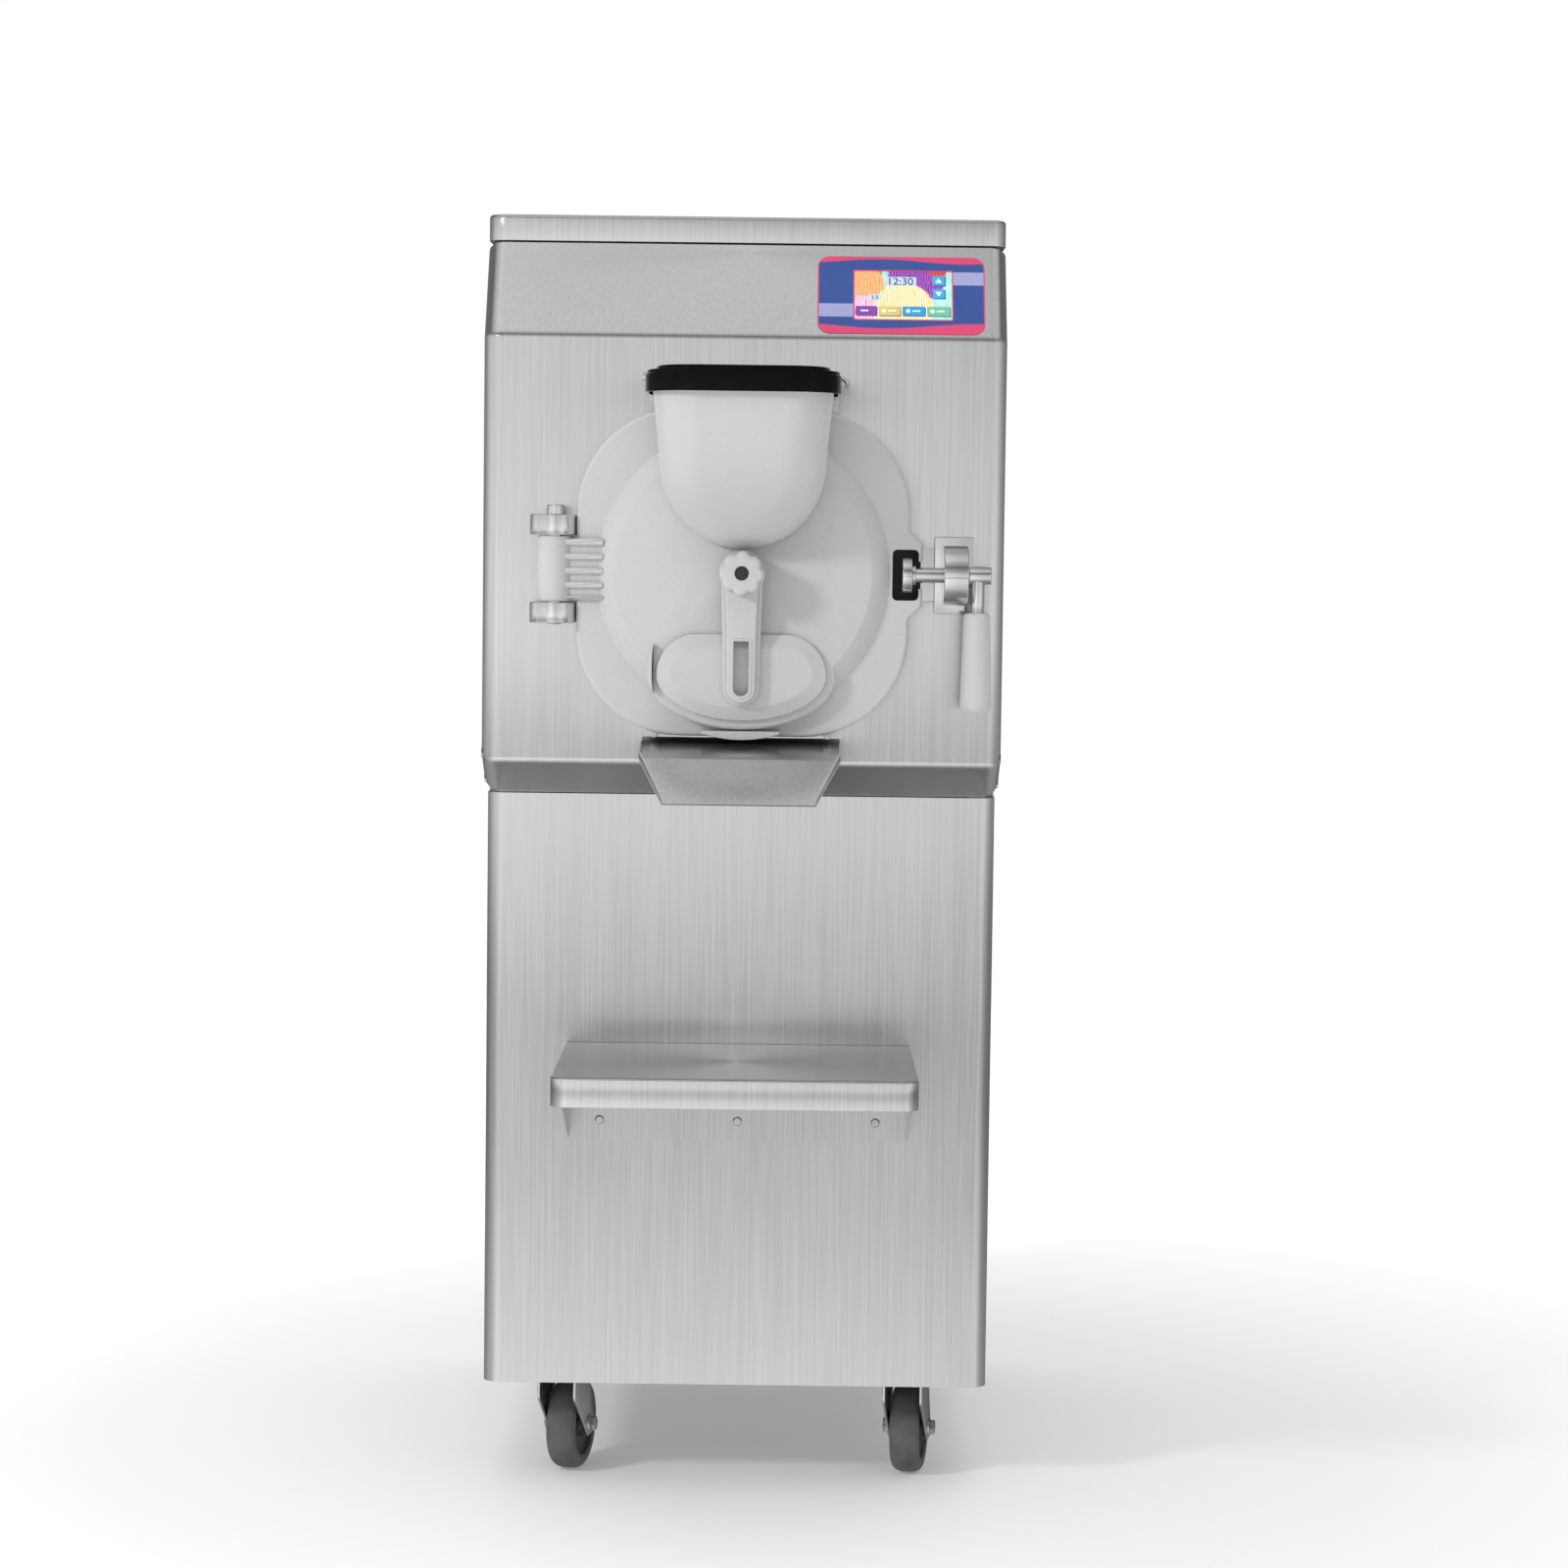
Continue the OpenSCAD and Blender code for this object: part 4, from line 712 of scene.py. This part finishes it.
# The chute: a foot on the web, a nearly level plate, and a lip that narrows; its sides are turned down.
chute_rows = []
for out, z, half in ((0, 780, 102), (0, 801, 102), (1.2, 803.3, 102), (3.5, 804, 102), (102, 788.6, 102),
                     (105, 787.7, 101.6), (107, 785.6, 100.9), (145, 745, 77)):
    x = np.array([-half, -half * 0.6, -half * 0.2, half * 0.2, half * 0.6, half]) * MM
    chute_rows.append(facing(x, np.full(6, z * MM), np.full(6, out * MM)))
chute = sheet_strip(chute_rows, -1.5 * MM, "chute_folded")
wings = []
for side in (-1, 1):
    wing = np.array([[62, 799], [105, 788], [145, 745], [148, 751], [107, 796], [62, 804]]) * MM
    narrow = np.array([102, 101.6, 77, 77, 101.6, 102]) * side * MM
    outer = facing(narrow, wing[:, 1], wing[:, 0])
    inner = facing(narrow - side * 1.5 * MM, wing[:, 1], wing[:, 0])
    wings.append((np.concatenate([outer, inner]),
                  grid_faces(2, 6, wrap_cols=True) + [list(range(6)), list(range(6, 12))]))
chute_wings = mesh_object("chute_wings", wings, 25)
piece(chute, satin, "root", "satin_steel", "chute")
piece(chute_wings, satin, "root", "satin_steel")

tray_low, tray_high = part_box("tray_shelf")
TRAY_OUT = 207 * MM
tray_outline = rounded(np.array([
    (-182, TRAY_OUT / MM, 17), (182, TRAY_OUT / MM, 17), (182, -60, 0.4), (-182, -60, 0.4)]) * MM, 14)
tray = mesh_object("tray_folded", [slab(
    tray_outline, edge(tray_high.z - 29 * MM, tray_high.z, 0.4 * MM, 1.6 * MM), plan)])
cut(tray, slab(outline_mm([(-180.5, 205.5, 15.5), (180.5, 205.5, 15.5), (180.5, -58.5, 1),
                           (-180.5, -58.5, 1)], 14),
               [(0, tray_high.z - 40 * MM), (0, tray_high.z - SHEET)], plan))
join(tray, slab(rectangle(-180 * MM, 180 * MM, 375.5 * MM, 477.3 * MM, 2 * MM),
                [(0, -STEP_BACK), (0, SHEET - STEP_BACK)], facing))
gusset = outline_mm([(-58.6, 376, 2), (115, 456, 6), (115, 477.4, 0.5), (-58.6, 477.4, 0.5)])
join(tray, *[slab(gusset, edge(x0 * MM, (x0 + 1.5) * MM, 0.2 * MM, 0.2 * MM, 1), across)
             for x0 in (-180, 178.5)])
piece(tray, satin, "root", "satin_steel", "tray_shelf")

# ---------- casters ----------


def hoop(profile, a, b, place, n=96):
    """A closed profile of (radius, height) pairs turned round the line through a and b, as a ring."""
    t = np.linspace(0, 2 * PI, n, endpoint=False)
    r, h = np.array(profile, float).T
    grid = place(a + r[:, None] * np.cos(t), b + r[:, None] * np.sin(t),
                 np.broadcast_to(h[:, None], (len(r), n)))
    return grid.reshape(-1, 3), grid_faces(len(r), n, wrap_rows=True, wrap_cols=True)


CASTERS = (("front_left", -185, 120, -13), ("front_right", 185, 120, -10),
           ("rear_left", -185, 590, 8), ("rear_right", 185, 590, -6))
for label, swivel_x, swivel_back, turned in CASTERS:
    s, c = math.sin(math.radians(turned)), math.cos(math.radians(turned))
    swivel_y = FRONT + swivel_back * MM

    def beside_wheel(a, b, x, x0=swivel_x * MM, y0=swivel_y, s=s, c=c):
        """Points from the distance behind the swivel, Z and the distance to its right."""
        return np.stack([x0 + x * c - a * s, y0 + x * s + a * c, b], axis=-1)

    def over_wheel(x, a, z, place=beside_wheel):
        """Points from the distance to the right of the swivel, behind it, and a height."""
        return place(a, z, x)

    leg = outline_mm([(-27, 114, 4), (-29, 88, 12), (14, 44, 20), (22, 36.5, 8), (38, 36.5, 8), (45, 52, 14),
                      (29, 98, 16), (26, 114, 4)])
    fork_parts = [slab(leg, edge(x0 * MM, (x0 + 3) * MM, 0.8 * MM, 0.8 * MM, 3), beside_wheel)
                  for x0 in (-21.5, 18.5)]
    fork_parts.append(slab(outline_mm([(-21.5, -27, 6), (21.5, -27, 6), (21.5, 26, 6), (-21.5, 26, 6)]),
                           edge(110 * MM, 114.2 * MM, 0.8 * MM, 1.8 * MM, 3), over_wheel))
    fork_parts.append(lathe(bar(29.6 * MM, 109.6 * MM, 115.4 * MM, 1.8 * MM), 0, 0, over_wheel))
    fork_parts.append(lathe(bar(4.9 * MM, -24.5 * MM, 24.5 * MM), AXLE_BACK, AXLE_Z, beside_wheel, 32))
    for side in (-1, 1):
        fork_parts.append(lathe(bar(10 * MM, side * 21.5 * MM, side * 23 * MM, 0.3 * MM), AXLE_BACK, AXLE_Z,
                                beside_wheel, 40))
        fork_parts.append(slab(circle(AXLE_BACK, AXLE_Z, 8 * MM, 6),
                               edge(side * 22.8 * MM, side * 28 * MM, side * 0.2 * MM, side * 0.7 * MM, 2),
                               beside_wheel))
    fork = mesh_object("fork_" + label, fork_parts)
    piece(fork, zinc, "fork_" + label, "zinc_steel", "caster_fork_" + label)
    wheel = mesh_object("tyre_" + label, [hoop(
        [(35 * MM, x * MM) for x in (15, -15)] + [(r * MM, x * MM) for r, x in (
            (38, -16), (43, -15.6), (46, -13.4), (47.8, -10.4), (48.8, -6), (49, -2), (49, 2), (48.8, 6),
            (47.8, 10.4), (46, 13.4), (43, 15.6), (38, 16))], AXLE_BACK, AXLE_Z, beside_wheel)], 50)
    piece(wheel, tyre, "wheel_" + label, "grey_tyre", "caster_wheel_" + label)
    hub = mesh_object("hub_" + label, [hoop(
        [(r * MM, x * MM) for r, x in (
            (5.05, 17), (5.05, -17), (12.6, -17), (13.6, -16.2), (15, -11), (31, -10.4),
            (33, -11.4), (34.2, -14.2), (35.4, -14.6), (35.4, 14.6), (34.2, 14.2), (33, 11.4),
            (31, 10.4), (15, 11), (13.6, 16.2), (12.6, 17))],
        AXLE_BACK, AXLE_Z, beside_wheel)], 30)
    piece(hub, dark, "wheel_" + label, "dark_plastic")

# ---------- controls ----------


def slope_coordinates(material, coordinates):
    """X and the distance up the slope, from the object's coordinates."""
    mapping = material.node_tree.nodes.new("ShaderNodeMapping")
    mapping.vector_type = "TEXTURE"
    mapping.inputs["Location"].default_value = (SCREEN_X, FRONT, CREASE_Z)
    mapping.inputs["Rotation"].default_value = (PI / 2 - SLOPE_ANGLE, 0, 0)
    link(material, coordinates, mapping.inputs["Vector"])
    split = material.node_tree.nodes.new("ShaderNodeSeparateXYZ")
    link(material, mapping.outputs["Vector"], split.inputs["Vector"])
    return mapping.outputs["Vector"], split.outputs["X"], split.outputs["Y"]


def above(material, value, limit, soft=0.0003):
    """One where the value is above a limit, with a soft step."""
    return spread(material, value, 0, 1, limit - soft, limit + soft)


film, film_shader, film_coordinates = new_material("overlay_film")
film_vector, film_x, film_up = slope_coordinates(film, film_coordinates)


def wave_line(material, x, base, height, length, shift):
    """A sine line: base + height * sin(2 pi (x + shift) / length)."""
    phase = arithmetic(material, "ADD", arithmetic(material, "MULTIPLY", x, number=2 * PI / length),
                       number=shift)
    swing = arithmetic(material, "MULTIPLY", arithmetic(material, "SINE", phase), number=height)
    return arithmetic(material, "ADD", swing, number=base)


low_wave = arithmetic(film, "SUBTRACT", wave_line(film, film_x, 14.5 * MM, 3.2 * MM, 0.20, -0.9), film_up)
high_wave = arithmetic(film, "SUBTRACT", film_up, wave_line(film, film_x, 93.5 * MM, 2.6 * MM, 0.17, 2.4))
in_pink = arithmetic(film, "MAXIMUM", above(film, low_wave, 0), above(film, high_wave, 0))


def lilac_band(middle, side):
    """One inside a 16 mm band about a height, left (side -1) or right (1) of the screen's middle."""
    away = arithmetic(film, "ABSOLUTE", arithmetic(film, "SUBTRACT", film_up, number=middle))
    inside = arithmetic(film, "MULTIPLY", above(film, away, 8 * MM), number=-1.0)
    inside = arithmetic(film, "ADD", inside, number=1.0)
    to_side = arithmetic(film, "MULTIPLY", film_x, number=side)
    return arithmetic(film, "MULTIPLY", inside, above(film, to_side, 0))


bands = arithmetic(film, "ADD", lilac_band(33 * MM, -1.0), lilac_band(73 * MM, 1.0))
stripe = above(film, arithmetic(film, "SINE", arithmetic(film, "MULTIPLY", film_up, number=2 * PI / 0.0034)),
               0.2, 0.3)
PINK, BLUE = (0.72, 0.055, 0.17), (0.022, 0.070, 0.30)
LILAC, PALE_LILAC = (0.42, 0.40, 0.66), (0.30, 0.36, 0.66)
film_tint = noise(film, film_coordinates, (1, 1, 1), 30, 2)
field = blend(film, spread(film, film_tint, 0, 1), BLUE, (0.026, 0.078, 0.32))
field = blend(film, bands, field, blend(film, stripe, LILAC, PALE_LILAC))
field = blend(film, in_pink, field, PINK)
link(film, field, film_shader.inputs["Base Color"])
link(film, spread(film, noise(film, film_coordinates, (1, 1, 1), 300, 2), 0.22, 0.32),
     film_shader.inputs["Roughness"])
film_edge = surface("overlay_film_edge", (0.66, 0.05, 0.15), (0.72, 0.06, 0.18), 0, (0.22, 0.32), size=300,
                    bump=0.01)

film_outline = rectangle(73.5 * MM, 246.5 * MM, 4.5 * MM, 99.5 * MM, 13 * MM, 12)
window = rectangle(SCREEN_X - 50.5 * MM, SCREEN_X + 50.5 * MM, SCREEN_UP - 29.5 * MM, SCREEN_UP + 29.5 * MM,
                   1 * MM)
overlay = mesh_object("overlay_field", [slab(
    inset(film_outline, 1.3 * MM), [(0, 0.1 * MM), (0, 0.8 * MM)], on_slope)])
cut(overlay, slab(inset(window, -1.3 * MM), [(0, -5 * MM), (0, 5 * MM)], on_slope))
piece(overlay, film, "root", "overlay_film", "control_overlay")
border = mesh_object("overlay_border", [slab(
    film_outline, [(0, 0.1 * MM), (0, 0.55 * MM), (0.25 * MM, 0.8 * MM)], on_slope)])
cut(border, slab(inset(film_outline, 1.3 * MM), [(0, -5 * MM), (0, 5 * MM)], on_slope))
window_border = mesh_object("overlay_window_border", [slab(
    inset(window, -1.3 * MM), [(0, 0.1 * MM), (0, 0.82 * MM)], on_slope)])
cut(window_border, slab(window, [(0, -5 * MM), (0, 5 * MM)], on_slope))
for rim in (border, window_border):
    piece(rim, film_edge, "root", "overlay_film")

# The screen: soft swirls of colour, four buttons along the bottom, two arrows, and a clock.
glass, glass_shader, glass_coordinates = new_material("screen_glass")
glass_vector, glass_x, glass_up = slope_coordinates(glass, glass_coordinates)


def spot(material, vector, x, up, radius, soft):
    """One inside a circle on the slope, with a soft rim."""
    distance = material.node_tree.nodes.new("ShaderNodeVectorMath")
    distance.operation = "DISTANCE"
    distance.inputs[1].default_value = (x * MM, up * MM, 0)
    link(material, vector, distance.inputs[0])
    return spread(material, distance.outputs["Value"], 1, 0, (radius - soft) * MM, (radius + soft) * MM)


swirl = noise(glass, glass_vector, (1, 1, 0), 90, 3)
strokes = glass.node_tree.nodes.new("ShaderNodeTexWave")
strokes.inputs["Scale"].default_value = 130
strokes.inputs["Distortion"].default_value = 9
strokes.inputs["Detail"].default_value = 3
strokes.inputs["Detail Scale"].default_value = 0.8
link(glass, glass_vector, strokes.inputs["Vector"])
picture = blend(glass, swirl, (0.16, 0.52, 0.42), (0.60, 0.82, 0.78))
for x, up, radius, soft, deep, pale in (
        (14, 74, 30, 1.5, (0.08, 0.01, 0.20), (0.42, 0.10, 0.52)),
        (36, 82, 9, 1, (0.35, 0.02, 0.03), (0.60, 0.10, 0.08)),
        (-31, 80, 9, 1, (0.02, 0.16, 0.05), (0.08, 0.36, 0.16)),
        (-44, 64, 25, 1.2, (0.75, 0.18, 0.03), (0.95, 0.55, 0.28)),
        (0, 36, 31, 1.2, (0.75, 0.45, 0.10), (0.96, 0.88, 0.66)),
        (-46, 34, 18, 1.2, (0.70, 0.12, 0.36), (0.92, 0.80, 0.88))):
    shade = blend(glass, strokes.outputs["Fac"], deep, pale)
    picture = blend(glass, spot(glass, glass_vector, x, up, radius, soft), picture, shade)
link(glass, picture, glass_shader.inputs["Base Color"])
link(glass, picture, glass_shader.inputs["Emission Color"])
glass_shader.inputs["Emission Strength"].default_value = 0.35
link(glass, spread(glass, swirl, 0.10, 0.16), glass_shader.inputs["Roughness"])


def lit(name, colour):
    """A lit patch of the screen in one hue, a little uneven."""
    made, shader, coordinates = new_material(name)
    low = tuple(0.9 * v for v in colour)
    mixed = blend(made, spread(made, noise(made, coordinates, (1, 1, 1), 160, 2), 0, 1), low, colour)
    link(made, mixed, shader.inputs["Base Color"])
    link(made, mixed, shader.inputs["Emission Color"])
    link(made, spread(made, noise(made, coordinates, (1, 1, 1), 400, 2), 0.12, 0.18),
         shader.inputs["Roughness"])
    shader.inputs["Emission Strength"].default_value = 0.3
    return made


screen = mesh_object("screen_picture", [slab(
    rectangle(SCREEN_X - 50.7 * MM, SCREEN_X + 50.7 * MM, SCREEN_UP - 29.7 * MM, SCREEN_UP + 29.7 * MM,
              1 * MM),
    [(0, -1.1 * MM), (0, 0.45 * MM)], on_slope)])
piece(screen, glass, "root", "screen_glass", "touch_screen")


def patch(x0, x1, up0, up1, r, low, high):
    """A thin rounded patch on the screen, from millimetres beside and above its lower middle."""
    return slab(rectangle(SCREEN_X + x0 * MM, SCREEN_X + x1 * MM, up0 * MM, up1 * MM, r * MM, 4),
                [(0, low * MM), (0, high * MM)], on_slope)


button_rows = (("purple", (0.22, 0.05, 0.34), -49.5, -27.5), ("yellow", (0.62, 0.50, 0.16), -25.5, -3),
               ("blue", (0.02, 0.30, 0.62), -1, 22.5), ("green", (0.16, 0.46, 0.30), 24.5, 48.5))
for label, colour, x0, x1 in button_rows:
    button = mesh_object("screen_button_" + label, [patch(x0, x1, 27.2, 38.6, 0.6, 0.4, 0.52)])
    piece(button, lit("button_" + label, colour), "root", "screen_glass")
shadow_parts = [patch(x0 + 0.8, x1 + 0.8, 26.2, 37.6, 0.6, 0.4, 0.49) for _, _, x0, x1 in button_rows]
shadow_parts += [patch(31.5, 43.9, up - 6.8, up + 4.6, 0.6, 0.4, 0.49) for up in (70.5, 54.5)]
arrow_keys = mesh_object("screen_arrow_keys", [patch(30.5, 42.8, up - 5.7, up + 5.7, 0.6, 0.4, 0.52)
                                               for up in (70.5, 54.5)])
piece(arrow_keys, lit("button_sky", (0.02, 0.36, 0.68)), "root", "screen_glass")
piece(mesh_object("screen_shadows", shadow_parts), lit("screen_dark", (0.03, 0.06, 0.14)), "root",
      "screen_glass")
arrows = []
for up, way in ((70.5, 1), (54.5, -1)):
    tip = np.array([[-3.4, -2.4 * way], [3.4, -2.4 * way], [0, 3.2 * way]]) + [36.6, up]
    arrows.append(slab(np.array([[SCREEN_X / MM, 0]] * 3) * MM + tip * MM, [(0, 0.5 * MM), (0, 0.58 * MM)],
                       on_slope))
marks = [slab(circle(SCREEN_X + x * MM, 33 * MM, 2.2 * MM, 24), [(0, 0.5 * MM), (0, 0.58 * MM)], on_slope)
         for x in (-20, 5, 30)]
marks += [patch(x, x + 8, 32.2, 33.8, 0.5, 0.5, 0.58) for x in (-15.5, 9.5, 34.5, -44)]
piece(mesh_object("screen_marks", arrows + marks), lit("screen_white", (0.85, 0.88, 0.90)), "root",
      "screen_glass")
clock_panels = mesh_object("screen_clock_panels", [patch(-20, 13.5, 63.6, 74.6, 0.4, 0.4, 0.52),
                                                   patch(-36.5, -22.5, 46, 52.5, 0.4, 0.4, 0.52)])
piece(clock_panels, lit("screen_pale", (0.50, 0.62, 0.78)), "root", "screen_glass")


def digits(name, text, size, x, up):
    """Figures standing on the slope, as a thin mesh."""
    curve = bpy.data.curves.new(name, "FONT")
    curve.body = text
    curve.size = size * MM
    curve.align_x = "CENTER"
    curve.extrude = 0.03 * MM
    typed = bpy.data.objects.new(name, curve)
    bpy.context.scene.collection.objects.link(typed)
    bpy.context.view_layer.update()
    mesh = bpy.data.meshes.new_from_object(typed.evaluated_get(bpy.context.evaluated_depsgraph_get()))
    bpy.data.objects.remove(typed)
    flat = np.zeros(len(mesh.vertices) * 3)
    mesh.vertices.foreach_get("co", flat)
    flat = flat.reshape(-1, 3)
    placed = on_slope(SCREEN_X + x * MM + flat[:, 0], up * MM + flat[:, 1], 0.58 * MM + flat[:, 2])
    mesh.vertices.foreach_set("co", placed.ravel())
    mesh.update()
    made = bpy.data.objects.new(name, mesh)
    bpy.context.scene.collection.objects.link(made)
    return made


ink = lit("screen_ink", (0.012, 0.012, 0.02))
piece(digits("clock_digits", "12:30", 12.5, -3.2, 64.9), ink, "root", "screen_glass")
piece(digits("small_digits", "3.5", 6.5, -29.5, 46.9), ink, "root", "screen_glass")

# ---------- finishes of the pieces that keep their designed shape ----------

FINISHES = {
    "satin_steel": satin, "frame_steel": frame_steel, "polished_steel": polished, "zinc_steel": zinc,
    "white_plastic": white, "hopper_plastic": milky, "black_plastic": black, "dark_plastic": dark,
    "black_rubber": rubber, "grey_tyre": tyre, "overlay_film": film, "screen_glass": glass, "copper": copper,
    "foam": foam, "motor_paint": motor_paint, "black_paint": black_paint, "fin_aluminium": fins,
    "cast_grey": cast}
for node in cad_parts.values():
    for place in node.material_slots:
        finish = place.material.name.split(".")[0] if place.material else ""
        place.material = FINISHES.get(finish, place.material)

# ---------- floor and light ----------

floor_material = surface("floor", (0.77, 0.77, 0.77), (0.79, 0.79, 0.79), 0, (0.75, 0.85), size=40, bump=0.0,
                         patches=0.5)
FLOOR_HALF, FLOOR_NEAR, FLOOR_FAR = 9.0, -9.0, 4.0
floor_grid = np.stack(np.meshgrid([-FLOOR_HALF, FLOOR_HALF], [FLOOR_NEAR, FLOOR_FAR]), axis=-1)
floor_points = np.concatenate([floor_grid, np.zeros((2, 2, 1))], axis=-1)
floor = mesh_object("floor", [(floor_points, grid_faces(2, 2))], closed=False)
floor_shader = floor_material.node_tree.nodes["Principled BSDF"]
# The floor glows though it is no lamp: painted light, weak within 0.7 m of the middle and rising out to 2 m,
# so the far floor turns white and the floor around the machine is painted darker.
floor_shader.inputs["Emission Color"].default_value = (1, 1, 1, 1)
from_middle = floor_material.node_tree.nodes.new("ShaderNodeVectorMath")
from_middle.operation = "LENGTH"
link(floor_material, floor_material.node_tree.nodes["Texture Coordinate"].outputs["Object"],
     from_middle.inputs[0])
link(floor_material, spread(floor_material, from_middle.outputs["Value"], 0.17, 0.45, 0.7, 2.0),
     floor_shader.inputs["Emission Strength"])
floor.data.materials.append(floor_material)
floor.visible_glossy = False

world = bpy.data.worlds.new("studio")
bpy.context.scene.world = world
world.use_nodes = True
sky = world.node_tree.nodes
direction = sky.new("ShaderNodeTexCoord").outputs["Generated"]
sky_split = sky.new("ShaderNodeSeparateXYZ")
link(world, direction, sky_split.inputs["Vector"])


def sky_ramp(value, stops):
    """Brightness along one part of the direction, from (place from -1 to 1, brightness) stops."""
    ramp = sky.new("ShaderNodeValToRGB")
    ramp.color_ramp.interpolation = "EASE"
    link(world, spread(world, value, 0, 1, -1, 1), ramp.inputs["Fac"])
    points = ramp.color_ramp.elements
    for _ in range(len(stops) - 2):
        points.new(0.5)
    for point, (position, level) in zip(points, stops):
        point.position = (position + 1) / 2
        point.color = (level, level, level, 1)
    return ramp.outputs["Color"]


# What shiny surfaces see: a pale room with darker bands low down and high up, and a dark strip behind.
by_height = sky_ramp(sky_split.outputs["Z"], (
    (-1, 0.50), (-0.78, 1.0), (-0.5, 1.1), (-0.3, 1.12), (-0.23, 1.06), (-0.19, 0.86),
    (-0.15, 0.62), (-0.115, 0.60), (-0.08, 1.14), (0, 0.98), (0.12, 0.84), (0.30, 0.52),
    (0.42, 0.40), (0.55, 0.26), (0.68, 0.62), (1, 0.85)))
depth_high = sky_ramp(sky_split.outputs["Y"], (
    (-1, 1), (-0.94, 1.0), (-0.86, 0.82), (-0.7, 0.84), (-0.5, 1.1), (-0.26, 1.0), (0.09, 0.70),
    (0.34, 0.46), (0.64, 0.28), (1, 0.15)))
depth_low = sky_ramp(sky_split.outputs["Y"], (
    (-1, 1), (-0.92, 1.0), (-0.7, 0.85), (-0.5, 0.66), (-0.17, 0.62), (0.34, 0.40), (1, 0.12)))
upper_room = spread(world, sky_split.outputs["Z"], 0, 1, -0.085, -0.045)
by_depth = blend(world, upper_room, depth_low, depth_high)
by_side = sky_ramp(sky_split.outputs["X"], (
    (-1, 1), (-0.35, 1.35), (-0.1, 1.17), (0.0, 1.0), (0.09, 0.88), (0.25, 0.84), (0.45, 1.1), (0.7, 1.3),
    (0.88, 0.9), (1, 0.7)))
rays = sky.new("ShaderNodeLightPath").outputs


def product(first, second):
    """Two brightnesses multiplied."""
    made = sky.new("ShaderNodeMix")
    made.data_type = "RGBA"
    made.blend_type = "MULTIPLY"
    made.inputs[0].default_value = 1
    link(world, first, made.inputs[6])
    link(world, second, made.inputs[7])
    return made.outputs[2]


reflected = product(product(by_height, by_depth), by_side)
kinds = blend(world, rays["Is Glossy Ray"], sky_ramp(
    sky_split.outputs["Z"], ((-1, 0.36), (-0.2, 0.40), (0.35, 0.45), (0.65, 0.88), (1, 1.40))), reflected)
kinds = blend(world, rays["Is Camera Ray"], kinds, (1, 1, 1))
link(world, kinds, sky["Background"].inputs["Color"])
sky["Background"].inputs["Strength"].default_value = 1


def softbox(name, location, target, width, height, power, glossy=False):
    """A flat light that faces its target, and shows in reflections only when glossy."""
    data = bpy.data.lights.new(name, "AREA")
    data.shape = "RECTANGLE"
    data.size, data.size_y = width, height
    data.energy = power
    lamp = bpy.data.objects.new(name, data)
    bpy.context.scene.collection.objects.link(lamp)
    look = Matrix.Translation(target).translation - Matrix.Translation(location).translation
    lamp.matrix_world = Matrix.Translation(location) @ look.to_track_quat("-Z", "Y").to_matrix().to_4x4()
    lamp.visible_camera = False
    lamp.visible_glossy = glossy


softbox("key", (-2.9, FRONT - 2.3, 2.35), (0, FRONT, 0.95), 0.5, 0.5, 62)
softbox("glint", (-1.9, FRONT - 3.0, 2.1), (0, FRONT, 0.95), 0.25, 0.25, 3, glossy=True)

bpy.context.scene.view_settings.view_transform = "Standard"
